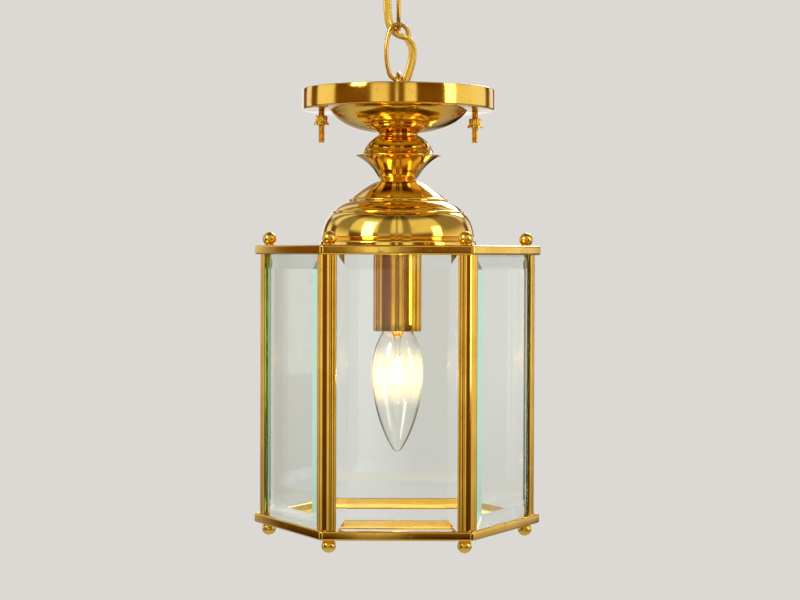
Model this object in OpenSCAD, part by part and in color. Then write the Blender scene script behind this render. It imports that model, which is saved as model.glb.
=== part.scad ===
// Hexagonal brass hanging lantern with six bevelled glass panes, a candle
// lamp, a round canopy and two chain links on a ceiling hook.
// Millimetres, +Z up. The origin is on the ceiling, above the lantern's axis.
// Heights named *_z are from the ceiling; those in the lantern's own modules
// are measured from the lower lip of the top tray.

/* [Ceiling fitting] */
// Radius of the round ceiling plate
ceiling_plate_r = 28; // [22:1:40]
// Thickness of the ceiling plate
ceiling_plate_t = 3; // [2:0.5:5]
// Distance between the ceiling plate's two screw holes
ceiling_screw_pitch = 40; // [34:1:44]
// Radius of the ceiling plate's screw holes
ceiling_screw_r = 2.25; // [1.5:0.05:3]
// Depth from the ceiling to the middle of the hook's lowest wire
hook_drop = 27; // [27:1:40]
// Radius of the hook's bend, to the middle of its wire
hook_bend_r = 7.5; // [6.5:0.1:9]
// Diameter of the hook's wire
hook_wire = 3.5; // [2.5:0.1:4]

/* [Chain] */
// Outer height of a chain link
link_h = 37.2; // [30:0.2:45]
// Outer width of a chain link
link_w = 18; // [16:0.2:24]
// Diameter of the chain's wire
link_wire = 2.75; // [2:0.05:3.2]
// Radius of a link's end bend, to the middle of the wire
link_end_r = 6; // [5:0.1:7]
// Space left between two wires that hang in each other
hang_gap = 0.3; // [0.1:0.05:0.6]

/* [Flex] */
// Width of the flat twin flex
flex_w = 5.3; // [4:0.1:5.6]
// Thickness of the flat twin flex
flex_t = 2.7; // [2:0.1:2.9]

/* [Canopy] */
// Radius of the canopy's rim
canopy_r = 60; // [56:1:75]
// Height of the canopy's upright rim
canopy_rim_h = 12.9; // [9:0.1:20]
// Radius where the canopy's flat ledge meets its bowl
canopy_bowl_r = 43; // [38:0.5:44]
// Depth of the canopy's bowl below its ledge
canopy_bowl_h = 14.3; // [8:0.1:20]
// Thickness of the canopy's sheet
canopy_wall = 1; // [0.6:0.1:1.5]
// Distance between the two studs
stud_pitch = 96; // [92:1:102]
// Radius of a stud
stud_r = 2; // [1.5:0.1:2.5]
// Length of a stud below the bar
stud_len = 21; // [15:0.5:30]
// Drop of the left nut below the canopy's ledge
left_nut_drop = 3.3; // [0.5:0.1:8]
// Drop of the right nut below the canopy's ledge
right_nut_drop = 4.9; // [0.5:0.1:8]
// Distance between the mounting bar's two slots
bar_slot_pitch = 66.7; // [60:0.1:68]
// Width of the mounting bar
bar_w = 26; // [25:0.5:32]
// Thickness of the mounting bar
bar_t = 2; // [1.5:0.1:3]

/* [Stem] */
// Outer radius of the threaded pipe
pipe_r = 5; // [4.5:0.1:5.5]
// Bore radius of the threaded pipe
pipe_bore_r = 3.75; // [3.4:0.05:4]
// Radius of the collar's sharp disc
collar_r = 26.6; // [24:0.2:32]
// Height of the collar's upper half
collar_cap_h = 13.9; // [11:0.1:18]
// Height of the collar's lower half
collar_cone_h = 15.5; // [12:0.1:20]
// Thickness of the spun sheet of the collar and dome
spun_wall = 0.8; // [0.5:0.1:1.2]
// Radius of the dome cap's foot
dome_r = 49; // [45:0.5:60]
// Height of the dome cap
dome_h = 40.6; // [34:0.2:49]

/* [Lantern] */
// Distance from the axis to a tray's flat side
tray_apothem = 77.9; // [76:0.1:95]
// Height of a tray's lip
tray_h = 5.7; // [5:0.1:9]
// Thickness of a tray's sheet
tray_sheet = 1.2; // [0.8:0.1:2]
// Thickness of a tray's rolled lip
tray_lip = 2; // [1.6:0.1:2.4]
// Radius of a tray's corners
tray_corner_r = 3; // [2.6:0.1:7]
// Rounding of a tray's outer edges
tray_edge_r = 1.2; // [0.5:0.1:2]
// Clear height between the lips of the two trays
clear_h = 162.5; // [120:0.5:220]
// Width of the bottom ring's flat rail
ring_rail = 16.4; // [15:0.2:19]
// Thickness of a pane
pane_t = 5; // [4:0.1:6]
// Thickness of a pane's ground edge
pane_edge_t = 2.6; // [2:0.1:4]
// Width of the bevel along a pane's sides
bevel_side = 8.8; // [5:0.1:12]
// Width of the bevel along a pane's top and bottom
bevel_end = 12.6; // [8:0.1:18]
// Chord of a post's rounded face
post_bead_w = 8; // [7:0.1:9]
// Height of a post's rounded face above its chord
post_bead_h = 1.2; // [0.6:0.1:1.8]
// Width of a post's flat flange
post_flange = 3.2; // [2.4:0.1:4]
// Thickness of the post's walls
post_wall = 1; // [0.8:0.1:1.2]
// Radius of a tie rod
tie_rod_r = 1.5; // [1.2:0.05:1.6]
// Radius of a ball nut
ball_r = 4.3; // [3.8:0.1:5.5]

/* [Lamp] */
// Outer radius of the socket sleeve
sleeve_r = 15.25; // [14.5:0.05:18]
// Length of the socket sleeve below the top tray's lip
sleeve_drop = 47.7; // [47:0.1:60]
// Thickness of the sleeve
sleeve_wall = 0.8; // [0.5:0.1:1.2]
// Greatest radius of the lamp's glass
lamp_r = 16.3; // [14:0.1:17.5]
// Length of the lamp's glass
lamp_glass_h = 77.4; // [65:0.2:85]
// Radius of the lamp's screw cap
lamp_cap_r = 8.5; // [8:0.05:8.6]

/* [Hidden] */
$fn = 64;
POSTS = [for (i = [1:6]) str("corner_post_", i)];
PANES = [for (i = [1:6]) str("glass_pane_", i)];

// Colours
BRASS = "#c9a03a";
PALE_BRASS = "#d8b765";
STEEL = "#a9adb0";
GLASS = "#d7eee4";
FLEX = "#d9b13c";
PORCELAIN = "#efece2";
DARK = "#2b2b2d";

// Clearances
pipe_fit = 0.2;
rod_fit = 0.1;
screw_fit = 0.05;
flex_fit = 0.15;
pane_fit = 0.6;
lamp_fit = 0.08;
shell_fit = 0.1;

// Ceiling fitting
hook_boss_r = 6;
hook_boss_h = 5;
hook_shank_r = 2.5;
hook_mouth = 55;
plate_edge_r = 1;
bush_r = 5;
bush_tip_r = 3.9;
bush_below = 5;
bush_flange_r = 6;
bush_flange_t = 1;

// The flex's route, top to bottom: X, Y, Z and its twist in degrees, then
// the two points of the route where it is divided
flex_route = [
    [-8, 6, 0, 0], [-8, 6, -6, 0], [-8, 6, -12, 0], [-7.8, 5.8, -18, 0],
    [-7.5, 5.5, -24, 0], [-7.3, 5.2, -30, 0], [-7.2, 4.9, -36, 0],
    [-7.1, 4.8, -41.5, 0], [-6.9, 4.7, -46, 0], [-6.5, 4.7, -50, 5],
    [-5.8, 4.6, -53.5, 15], [-4.6, 4.3, -56.5, 35], [-3, 3.8, -58.9, 58],
    [-1.1, 2.8, -60.8, 74], [0.9, 1.1, -62, 78], [2.8, -1, -62.8, 74],
    [4.6, -2.8, -63.8, 60], [6.4, -3.9, -65.5, 42], [7.8, -4.1, -67.8, 25],
    [8.7, -4, -70.5, 10], [9, -3.8, -73.6, 0], [8.6, -3.6, -76.9, 0],
    [7.8, -3.4, -80.3, 0], [6.8, -3.3, -83.7, 0], [5.7, -3.2, -87.1, 0],
    [4.5, -3, -90.4, 0], [3.4, -2.6, -93.6, 0], [2.3, -2, -96.7, 0],
    [1.4, -1.3, -99.7, 0], [0.6, -0.6, -102.6, 0], [0.2, -0.2, -105, 0],
    [0, 0, -108, 0]
];
flex_cut_upper = 7;
flex_cut_lower = 19;
flex_profile = [for (q = [[1, 0], [0.85, 0.7], [0.5, 1], [0, 0.74], [-0.5, 1], [-0.85, 0.7],
    [-1, 0], [-0.85, -0.7], [-0.5, -1], [0, -0.74], [0.5, -1], [0.85, -0.7]])
    [q[0] * flex_w / 2, q[1] * flex_t / 2]];

// Heights down the chain, from the ceiling
link_reach = (link_h - link_wire) / 2;
weld_bump = 0.08;
hook_z = -hook_drop;
upper_link_z = hook_z + (hook_wire + link_wire) / 2 + hang_gap - link_reach;
lower_link_z = upper_link_z - 2 * link_reach + link_wire + hang_gap;
loop_wire = 3.4;
loop_top_z = lower_link_z - link_reach + (link_wire + loop_wire) / 2 + hang_gap;

// Heights up the lantern, from the top tray's lower lip
dome_top = tray_h + dome_h;
disc_z = dome_top + collar_cone_h;
canopy_floor = disc_z + collar_cap_h;
ledge_z = canopy_floor + canopy_bowl_h;
canopy_top = ledge_z + canopy_rim_h;
lock_nut_h = 4;
loop_base = canopy_floor + canopy_wall + lock_nut_h;
loop_collar_r = 9.3;
loop_collar_h = 13.5;
loop_bend_r = 7.4;
loop_leg_h = 11.1;
loop_collar_top = loop_base + loop_collar_h;
loop_wire_top = loop_collar_top + loop_leg_h + loop_bend_r;
lantern_z = loop_top_z - loop_wire_top;
loop_neck_h = 3;
pipe_top = loop_collar_top - loop_neck_h;
pipe_bottom = -12;
pipe_nut_r = 8.1;

// Canopy, bar and nuts
bar_end = 6;
bar_len = stud_pitch + 2 * bar_end;
bar_hole_r = 11;
bar_slot_w = 4.5;
bar_slot_l = 10;
stud_head_r = 3.5;
stud_head_h = 2.5;
stud_slot_w = 1;
stud_slot_d = 1.2;
stud_stub = 0.5;
stud_hole_play = 0.5;
canopy_edge_r = 1.2;
nut_r = 3.75;
nut_h = 4.2;
nut_flange_r = 4.7;
nut_flange_h = 1.7;
nut_grooves = 18;
nut_groove_w = 0.6;
nut_groove_in = 0.15;

// Collar and dome
neck_r = 12.5;
seam_w = 3.4;
dome_neck_r = 11;
dome_wall = 1.5 * spun_wall;
dome_foot_w = 3.5;

// Trays, posts and panes
top_sheet_under = tray_h - tray_sheet;
ring_bottom = -clear_h - tray_h;
ring_floor = ring_bottom + tray_sheet;
ring_inner_apothem = tray_apothem - ring_rail;
lip_inner = tray_apothem - tray_lip;
post_play = 0.4;
flange_return = 0.8;
flange_tuck = 0.9;
return_w = 0.8;
flange_over_pane = 0.5;
rod_behind_pane = 0.4;
pane_side_play = 0.1;
flange_apothem = lip_inner - post_play;
bead_chord_r = (flange_apothem - post_bead_w / 4) / cos(30);
bead_r = (pow(post_bead_w / 2, 2) + pow(post_bead_h, 2)) / (2 * post_bead_h);
post_h = top_sheet_under - ring_floor;
rod_tube_wall = 0.5;
tie_rod_bore_r = tie_rod_r + rod_fit;
rod_tube_r = tie_rod_bore_r + rod_tube_wall;
pane_face = flange_apothem - flange_over_pane;
pane_back = pane_face - pane_t;
rod_circle_r = (pane_back - rod_behind_pane) / cos(30);
pane_half_w = rod_circle_r * sin(30) - rod_tube_r - pane_side_play;
pane_h = post_h - pane_fit;
lip_wall = 0.8;
lip_cover = 2.5;
lip_half_w = pane_half_w - lip_cover;
ball_lift = ball_r - 0.4;
ball_collar_r = 3;
ball_collar_h = 0.6;
ball_thread = 6;

// Lamp and lampholder, from the top tray's lower lip
sleeve_nut_h = 4;
holder_r = 12.4;
holder_top = -4;
holder_bottom = -43;
holder_cavity_r = 10;
holder_shelf = -20;
holder_shelf_t = 3;
shelf_under = holder_shelf - holder_shelf_t;
shell_wall = 0.6;
shell_r = lamp_cap_r + lamp_fit + shell_wall;
shell_top = -26;
shell_len = 16;
cap_top = -27;
cap_len = 19;
cap_ridge = 0.3;
thread_pitch = 2.8;
glass_top = cap_top - cap_len;
glass_wall = 0.8;
tip_r = 2.2;
insulator_h = 1.8;
insulator_r = 6;
insulator_tip_r = 3.4;
tip_h = 0.8;
tip_z = cap_top + insulator_h + tip_h;
terminal_x = 6;
terminal_r = 2.2;
terminal_shank_r = 1.5;
terminal_h = 2;
core_knee = 5;
contact_gap = 0.1;
contact_t = 0.5;
contact_w = 4;
contact_r = 2;
shell_tab_w = 2.4;
core_r = 0.9;
flex_end = pipe_bottom - 0.4;
stem_len = 17;
wire_spread = 5;
wire_drop = 13;
lead_r = 0.3;
lead_foot = 1.1;
filament_r = 0.45;

// Points of an arc from angle a to angle b
function arc(centre, r, a, b, n = 8) =
    [for (i = [0:n]) centre + r * [cos(a + (b - a) * i / n), sin(a + (b - a) * i / n)]];

// Points of a quadratic curve
function curve3(a, b, c, n = 10) =
    [for (i = [0:n]) let (t = i / n) (1 - t) * (1 - t) * a + 2 * t * (1 - t) * b + t * t * c];

// Points of a cubic curve
function curve4(a, b, c, d, n = 14) =
    [for (i = [0:n]) let (t = i / n, s = 1 - t)
        s * s * s * a + 3 * s * s * t * b + 3 * s * t * t * c + t * t * t * d];

function reversed(list) = [for (i = [len(list) - 1:-1:0]) list[i]];

// An outline moved inwards by one wall, kept outside r_min and between two heights
function inside(points, wall, lift, r_min, z_min, z_max) =
    [for (p = points) [max(p[0] - wall, r_min), min(max(p[1] + lift, z_min), z_max)]];

// Corners of a hexagon with rounded corners and flat sides facing the Y axis
function hexagon(apothem, r) =
    [for (k = [0:5]) each arc((apothem - r) / cos(30) * [cos(60 * k), sin(60 * k)],
        r, 60 * k - 30, 60 * k + 30, 6)];

// One bent stretch of round wire in the XZ plane
module wire_bend(centre, r, wire, a, b)
    translate([centre[0], 0, centre[1]])
        rotate([90, 0, 0])
            rotate([0, 0, a])
                rotate_extrude(angle = b - a)
                    translate([r, 0])
                        circle(d = wire, $fn = 32);

// A closed oval link of round wire in the XZ plane, centred on the origin
module oval_link() {
    half_w = (link_w - link_wire) / 2;
    centre_h = link_reach - link_end_r;
    side_r = (half_w * half_w + centre_h * centre_h - link_end_r * link_end_r)
        / (2 * (half_w - link_end_r));
    joint = asin(centre_h / (side_r - link_end_r));
    for (s = [0, 180])
        rotate([0, s, 0]) {
            wire_bend([0, centre_h], link_end_r, link_wire, joint, 180 - joint);
            wire_bend([half_w - side_r, 0], side_r, link_wire, -joint, joint);
            for (e = [-1, 1])
                translate([link_end_r * cos(joint), 0, e * (centre_h + link_end_r * sin(joint))])
                    sphere(d = link_wire + weld_bump, $fn = 48);
        }
}

// A round bar between two points
module rod_between(a, b, r) {
    d = b - a;
    translate(a)
        rotate([0, acos(d[2] / norm(d)), atan2(d[1], d[0])])
            cylinder(r = r, h = norm(d), $fn = 32);
}

// The hole for the flex, its wide side along X
module flex_hole() {
    side = (flex_w - flex_t) / 2;
    square([2 * side, flex_t + 2 * flex_fit], center = true);
    for (s = [-side, side])
        translate([s, 0])
            circle(d = flex_t + 2 * flex_fit, $fn = 32);
}

// Point i of the route, and the direction of the route there
function route_point(i) = [flex_route[i][0], flex_route[i][1], flex_route[i][2]];
function route_way(i) = let (
    a = route_point(max(i - 1, 0)),
    b = route_point(min(i + 1, len(flex_route) - 1))
) i == 0 || i == len(flex_route) - 1 ? [0, 0, -1] : (b - a) / norm(b - a);

// One ring of the flex, square to the route and turned by the route's twist
function flex_ring(i) = let (
    way = route_way(i),
    side = cross([0, 1, 0], way) / norm(cross([0, 1, 0], way)),
    wide = side * cos(flex_route[i][3]) + cross(way, side) * sin(flex_route[i][3]),
    thick = cross(way, wide)
) [for (p = flex_profile) route_point(i) + wide * p[0] + thick * p[1]];

// The flex as one tube from route point a to route point b
module flex_tube(a, b) {
    rings = b - a;
    n = len(flex_profile);
    points = [for (i = [a:b]) each flex_ring(i)];
    sides = [for (r = [0:rings - 1], s = [0:n - 1]) let (t = (s + 1) % n, u = r * n, d = u + n)
        each [[u + s, d + s, d + t], [u + s, d + t, u + t]]];
    ends = [[for (s = [0:n - 1]) s], [for (s = [n - 1:-1:0]) rings * n + s]];
    polyhedron(points = points, faces = concat(sides, ends), convexity = 4);
}

// Ceiling fitting

module ceiling_plate() color(BRASS)
    difference() {
        union() {
            rotate_extrude()
                polygon(concat([[0, -ceiling_plate_t], [0, 0], [ceiling_plate_r, 0]],
                    arc([ceiling_plate_r - plate_edge_r, plate_edge_r - ceiling_plate_t],
                        plate_edge_r, 0, -90)));
            translate([0, 0, -ceiling_plate_t - hook_boss_h])
                cylinder(r = hook_boss_r, h = hook_boss_h + 1);
        }
        translate([0, 0, -ceiling_plate_t - hook_boss_h - 1])
            cylinder(r = hook_shank_r + screw_fit, h = ceiling_plate_t + hook_boss_h + 2);
        for (s = [-1, 1])
            translate([s * ceiling_screw_pitch / 2, 0, -ceiling_plate_t - 1])
                cylinder(r = ceiling_screw_r, h = ceiling_plate_t + 2);
        translate([flex_route[0][0], flex_route[0][1], -ceiling_plate_t - hook_boss_h - 1])
            cylinder(r = bush_r + screw_fit, h = ceiling_plate_t + hook_boss_h + 2);
    }

module ceiling_hook() color(BRASS) {
    bend_z = hook_z + hook_bend_r;
    collar_z = -ceiling_plate_t - hook_boss_h;
    wire_bend([0, bend_z], hook_bend_r, hook_wire, 90 + hook_mouth, 450);
    translate([0, 0, bend_z + hook_bend_r - hook_wire / 2])
        cylinder(r = hook_shank_r, h = collar_z - bend_z - hook_bend_r + hook_wire / 2);
    translate([0, 0, collar_z])
        cylinder(r = hook_shank_r, h = -collar_z);
}

module cable_bush() color(DARK)
    translate([flex_route[0][0], flex_route[0][1], 0])
        difference() {
            rotate_extrude()
                polygon([[0, 0], [bush_r, 0], [bush_r, -ceiling_plate_t],
                    [bush_flange_r - 1, -ceiling_plate_t],
                    [bush_flange_r - 1, -ceiling_plate_t - bush_flange_t],
                    [bush_tip_r, -ceiling_plate_t - bush_below],
                    [0, -ceiling_plate_t - bush_below]]);
            translate([0, 0, -ceiling_plate_t - bush_below - 1])
                linear_extrude(ceiling_plate_t + bush_below + 2)
                    flex_hole();
        }

// Flex

module flex_top() color(FLEX) flex_tube(0, flex_cut_upper);
module flex_middle() color(FLEX) flex_tube(flex_cut_upper, flex_cut_lower);
module flex_bottom() color(FLEX) flex_tube(flex_cut_lower, len(flex_route) - 1);

// Chain

module upper_link() color(BRASS)
    translate([0, 0, upper_link_z])
        rotate([0, 0, 90])
            oval_link();

module lower_link() color(BRASS)
    translate([0, 0, lower_link_z])
        oval_link();

module chain_loop() color(BRASS)
    translate([0, 0, lantern_z]) {
        rotate([0, 0, 90]) {
            wire_bend([0, loop_collar_top + loop_leg_h], loop_bend_r, loop_wire, 0, 180);
            for (s = [-1, 1])
                translate([s * loop_bend_r, 0, loop_collar_top - 1])
                    cylinder(d = loop_wire, h = loop_leg_h + 1, $fn = 32);
        }
        difference() {
            translate([0, 0, loop_base])
                cylinder(r = loop_collar_r, h = loop_collar_h);
            translate([0, 0, loop_base - 1])
                cylinder(r = pipe_r + screw_fit, h = pipe_top - loop_base + 1);
            translate([0, 0, loop_base])
                cylinder(r = pipe_bore_r, h = loop_collar_h + 1);
        }
    }

// Canopy and its mounting bar

module lock_nut() color(STEEL)
    translate([0, 0, lantern_z + canopy_floor + canopy_wall])
        difference() {
            cylinder(r = pipe_nut_r, h = lock_nut_h, $fn = 6);
            translate([0, 0, -1])
                cylinder(r = pipe_r + screw_fit, h = lock_nut_h + 2);
        }

// The canopy's underside and rim, from the axis outwards
function canopy_outline() = concat(
    [[pipe_r + pipe_fit, canopy_floor]],
    curve3([neck_r, canopy_floor], [canopy_bowl_r - 8, canopy_floor + 2.4],
        [canopy_bowl_r - 0.4, ledge_z - 0.6], 14),
    arc([canopy_bowl_r + 0.8, ledge_z - 1.2], 1.2, 150, 90, 3),
    arc([canopy_r - canopy_edge_r, ledge_z + canopy_edge_r], canopy_edge_r, -90, 0, 5),
    arc([canopy_r - canopy_wall / 2, canopy_top - canopy_wall / 2], canopy_wall / 2, 0, 90, 4)
);

module canopy() color(BRASS)
    translate([0, 0, lantern_z])
        difference() {
            rotate_extrude($fn = 128)
                polygon(concat(canopy_outline(), reversed(inside(
                    [for (p = canopy_outline()) if (p[1] < canopy_top - canopy_wall / 2) p],
                    canopy_wall, canopy_wall, pipe_r + pipe_fit, canopy_floor, canopy_top)),
                    [[pipe_r + pipe_fit, canopy_floor + canopy_wall]]));
            for (s = [-1, 1])
                translate([s * stud_pitch / 2, 0, ledge_z - 1])
                    cylinder(r = stud_r + stud_hole_play, h = canopy_wall + 2);
        }

module mounting_bar() color(STEEL)
    translate([0, 0, lantern_z + ledge_z + canopy_wall])
        difference() {
            intersection() {
                translate([-bar_len / 2, -bar_w / 2, 0])
                    cube([bar_len, bar_w, bar_t]);
                cylinder(r = bar_len / 2, h = bar_t);
            }
            translate([0, 0, -1])
                cylinder(r = bar_hole_r, h = bar_t + 2);
            for (s = [-1, 1]) {
                translate([s * stud_pitch / 2, 0, -1])
                    cylinder(r = stud_r + screw_fit, h = bar_t + 2);
                translate([s * bar_slot_pitch / 2, 0, -1]) {
                    for (e = [-1, 1])
                        translate([e * (bar_slot_l - bar_slot_w) / 2, 0, 0])
                            cylinder(d = bar_slot_w, h = bar_t + 2);
                    translate([(bar_slot_w - bar_slot_l) / 2, -bar_slot_w / 2, 0])
                        cube([bar_slot_l - bar_slot_w, bar_slot_w, bar_t + 2]);
                }
            }
        }

module stud_screws() color(PALE_BRASS)
    for (s = [-1, 1])
        translate([s * stud_pitch / 2, 0, lantern_z + ledge_z + canopy_wall + bar_t]) {
            translate([0, 0, -stud_len - bar_t])
                cylinder(r = stud_r, h = stud_len + bar_t + stud_stub);
            difference() {
                cylinder(r = stud_head_r, h = stud_head_h);
                translate([-stud_head_r, -stud_slot_w / 2, stud_head_h - stud_slot_d])
                    cube([2 * stud_head_r, stud_slot_w, 2 * stud_slot_d]);
            }
        }

// A knurled nut with a flange below it, hanging from its top face
module stud_nut() color(PALE_BRASS)
    difference() {
        union() {
            translate([0, 0, -nut_h])
                cylinder(r = nut_r, h = nut_h);
            translate([0, 0, -nut_h - nut_flange_h])
                cylinder(r = nut_flange_r, h = nut_flange_h);
        }
        translate([0, 0, -nut_h - nut_flange_h - 1])
            cylinder(r = stud_r + screw_fit, h = nut_h + nut_flange_h + 2);
        for (k = [0:nut_grooves - 1])
            rotate([0, 0, 360 * k / nut_grooves])
                translate([nut_r + nut_groove_in, 0, -nut_h - 0.01])
                    rotate([0, 0, 45])
                        cube([nut_groove_w, nut_groove_w, 2 * nut_h]);
    }

module left_stud_nut()
    translate([-stud_pitch / 2, 0, lantern_z + ledge_z - left_nut_drop])
        stud_nut();

module right_stud_nut()
    translate([stud_pitch / 2, 0, lantern_z + ledge_z - right_nut_drop])
        stud_nut();

// Stem, collar and dome

module stem_pipe() color(PALE_BRASS)
    translate([0, 0, lantern_z + pipe_bottom])
        difference() {
            cylinder(r = pipe_r, h = pipe_top - pipe_bottom);
            translate([0, 0, -1])
                cylinder(r = pipe_bore_r, h = pipe_top - pipe_bottom + 2);
        }

// Upper half of the collar, from its neck down to the sharp disc
function collar_cap_outline() = concat(
    [[pipe_r + pipe_fit, canopy_floor], [neck_r - 0.4, canopy_floor], [neck_r, canopy_floor - 0.5]],
    curve3([neck_r, canopy_floor - 1.2], [collar_r - 7.2, disc_z + 9.4],
        [collar_r - 4.9, disc_z + 3.2], 12),
    curve3([collar_r - 4.8, disc_z + 2.9], [collar_r - 4, disc_z + 0.9],
        [collar_r - 0.1, disc_z + 0.3], 6),
    [[collar_r, disc_z]]
);

module collar_cap() color(BRASS)
    translate([0, 0, lantern_z])
        rotate_extrude($fn = 96)
            polygon(concat(collar_cap_outline(), reversed(concat(
                inside([for (p = collar_cap_outline()) if (p[1] > disc_z + 2 * spun_wall) p],
                    spun_wall, -spun_wall, pipe_r + pipe_fit, disc_z, canopy_top),
                [[collar_r - seam_w, disc_z]]))));

// Lower half of the collar, from the sharp disc down to its neck
function collar_cone_outline() = concat(
    [[collar_r, disc_z]],
    curve3([collar_r - 0.2, disc_z - 0.4], [collar_r - 6.6, disc_z - 3],
        [collar_r - 11.6, disc_z - 9.4], 10),
    curve3([collar_r - 11.9, disc_z - 9.9], [dome_neck_r + 1.6, disc_z - 13.4],
        [dome_neck_r, dome_top + 0.6], 6),
    [[dome_neck_r - 0.3, dome_top], [pipe_r + pipe_fit, dome_top]]
);

module collar_cone() color(BRASS)
    translate([0, 0, lantern_z])
        rotate_extrude($fn = 96)
            polygon(concat(collar_cone_outline(), reversed(concat(
                [[collar_r - seam_w, disc_z]],
                inside([for (p = collar_cone_outline()) if (p[1] < disc_z - 2 * spun_wall) p],
                    spun_wall, spun_wall, pipe_r + pipe_fit, dome_top, disc_z)))));

// The stepped dome, from its neck out and down to its foot
function dome_outline() = concat(
    [[pipe_r + pipe_fit, dome_top]],
    curve3([dome_neck_r + 0.2, dome_top], [17.5, dome_top - 0.8], [30, dome_top - 11.4], 12),
    arc([30.2, dome_top - 12.4], 0.9, 70, -30, 4),
    curve3([31.1, dome_top - 13.1], [37, dome_top - 14.9], [40.3, dome_top - 19.1], 8),
    arc([40.5, dome_top - 20.1], 0.9, 70, -30, 4),
    curve3([41.5, dome_top - 20.8], [46.2, dome_top - 24], [dome_r - 1.2, tray_h + 5.6], 12),
    [[dome_r - 2.5, tray_h + 4.9], [dome_r - 2.8, tray_h + 3.6]],
    arc([dome_r - 1.6, tray_h + 1.6], 1.6, 100, 0, 5)
);

module dome_cap() color(BRASS)
    translate([0, 0, lantern_z])
        rotate_extrude($fn = 128)
            polygon(concat(dome_outline(), [[dome_r, tray_h], [dome_r - dome_foot_w, tray_h]],
                reversed(inside([for (p = dome_outline()) if (p[1] > tray_h + 5.5) p],
                    dome_wall, -spun_wall, pipe_r + pipe_fit, tray_h, dome_top))));

// Trays

// A rounded hexagonal slab, its lower face at z = 0
module tray_blank()
    hull()
        for (k = [0:5])
            rotate([0, 0, 60 * k])
                translate([(tray_apothem - tray_corner_r) / cos(30), 0, 0])
                    rotate_extrude($fn = 36)
                        polygon(concat([[0, 0]],
                            arc([tray_corner_r - tray_edge_r, tray_edge_r], tray_edge_r, -90, 0, 5),
                            arc([tray_corner_r - tray_edge_r, tray_h - tray_edge_r], tray_edge_r, 0, 90, 5),
                            [[0, tray_h]]));

// Six copies at the posts
module at_posts()
    for (k = [0:5])
        rotate([0, 0, 60 * k])
            translate([rod_circle_r, 0, 0])
                children();

module top_tray() color(BRASS)
    translate([0, 0, lantern_z])
        difference() {
            tray_blank();
            translate([0, 0, -1])
                linear_extrude(top_sheet_under + 1)
                    polygon(hexagon(lip_inner, tray_corner_r - tray_lip));
            translate([0, 0, -1])
                cylinder(r = pipe_r + pipe_fit, h = tray_h + 2);
            at_posts()
                translate([0, 0, -1])
                    cylinder(r = tie_rod_bore_r, h = tray_h + 2);
        }

module bottom_ring() color(BRASS)
    translate([0, 0, lantern_z + ring_bottom])
        difference() {
            tray_blank();
            translate([0, 0, tray_sheet])
                linear_extrude(tray_h)
                    polygon(hexagon(lip_inner, tray_corner_r - tray_lip));
            translate([0, 0, -1])
                linear_extrude(tray_h + 2)
                    polygon(hexagon(ring_inner_apothem, 1));
            at_posts()
                translate([0, 0, -1])
                    cylinder(r = tie_rod_bore_r, h = tray_h + 2);
        }

// Section of a post: X points away from the lantern's axis
module post_section() {
    bead_centre = bead_chord_r + post_bead_h - bead_r;
    half_angle = asin(post_bead_w / 2 / bead_r);
    difference() {
        translate([bead_centre, 0])
            circle(r = bead_r);
        translate([bead_centre, 0])
            circle(r = bead_r - post_wall);
        translate([bead_centre - 2 * bead_r, -2 * bead_r])
            square([2 * bead_r + bead_r * cos(half_angle), 4 * bead_r]);
    }
    for (s = [-1, 1]) {
        // Outer flange, its face square to the pane's face
        translate([bead_chord_r, s * post_bead_w / 2])
            rotate([0, 0, s * 30])
                translate([-post_wall, s > 0 ? -flange_tuck : -post_flange])
                    square([post_wall, post_flange + flange_tuck]);
        translate([bead_chord_r, s * post_bead_w / 2])
            rotate([0, 0, s * 30])
                translate([-post_wall - flange_return, s > 0 ? post_flange - return_w : -post_flange])
                    square([flange_return + 0.1, return_w]);
        // Inner lip behind the pane
        rotate([0, 0, s * 30])
            translate([pane_back - lip_wall, s > 0 ? lip_edge() : -lip_edge() - lip_span()])
                square([lip_wall, lip_span()]);
    }
    difference() {
        union() {
            translate([rod_circle_r, 0])
                circle(r = rod_tube_r, $fn = 48);
            translate([rod_circle_r, -post_wall])
                square([bead_chord_r + post_bead_h - post_wall / 2 - rod_circle_r, 2 * post_wall]);
        }
        translate([rod_circle_r, 0])
            circle(r = tie_rod_bore_r, $fn = 48);
    }
}

// The inner lip runs from near the tie rod's bore to its free edge
function lip_span() = rod_circle_r * sin(30) - tie_rod_bore_r - lip_half_w;
function lip_edge() = -rod_circle_r * sin(30) + tie_rod_bore_r;

module corner_post(k) color(BRASS)
    translate([0, 0, lantern_z + ring_floor])
        rotate([0, 0, 60 * (k - 1)])
            linear_extrude(post_h)
                post_section();

// One pane, its back face on the XZ plane and its bevelled face towards -Y
module bevelled_pane() {
    w = pane_half_w;
    h = pane_h;
    outline = [[-w, 0], [w, 0], [w, h], [-w, h]];
    bevel = [[-w + bevel_side, bevel_end], [w - bevel_side, bevel_end],
        [w - bevel_side, h - bevel_end], [-w + bevel_side, h - bevel_end]];
    polyhedron(
        points = concat(
            [for (p = outline) [p[0], 0, p[1]]],
            [for (p = outline) [p[0], -pane_edge_t, p[1]]],
            [for (p = bevel) [p[0], -pane_t, p[1]]]),
        faces = concat([[0, 1, 2, 3], [11, 10, 9, 8]],
            [for (r = [0, 4], i = [0:3]) let (j = (i + 1) % 4) [r + i, r + i + 4, r + j + 4, r + j]]));
}

module glass_pane(k) color(GLASS)
    translate([0, 0, lantern_z + ring_floor])
        rotate([0, 0, 60 * (k - 1)])
            translate([0, -pane_back, 0])
                bevelled_pane();

// Tie rods and ball nuts

module tie_rods() color(PALE_BRASS)
    at_posts()
        translate([0, 0, lantern_z + ring_bottom - ball_thread + 1])
            cylinder(r = tie_rod_r, h = clear_h + 2 * tray_h + 2 * ball_thread - 2, $fn = 32);

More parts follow.
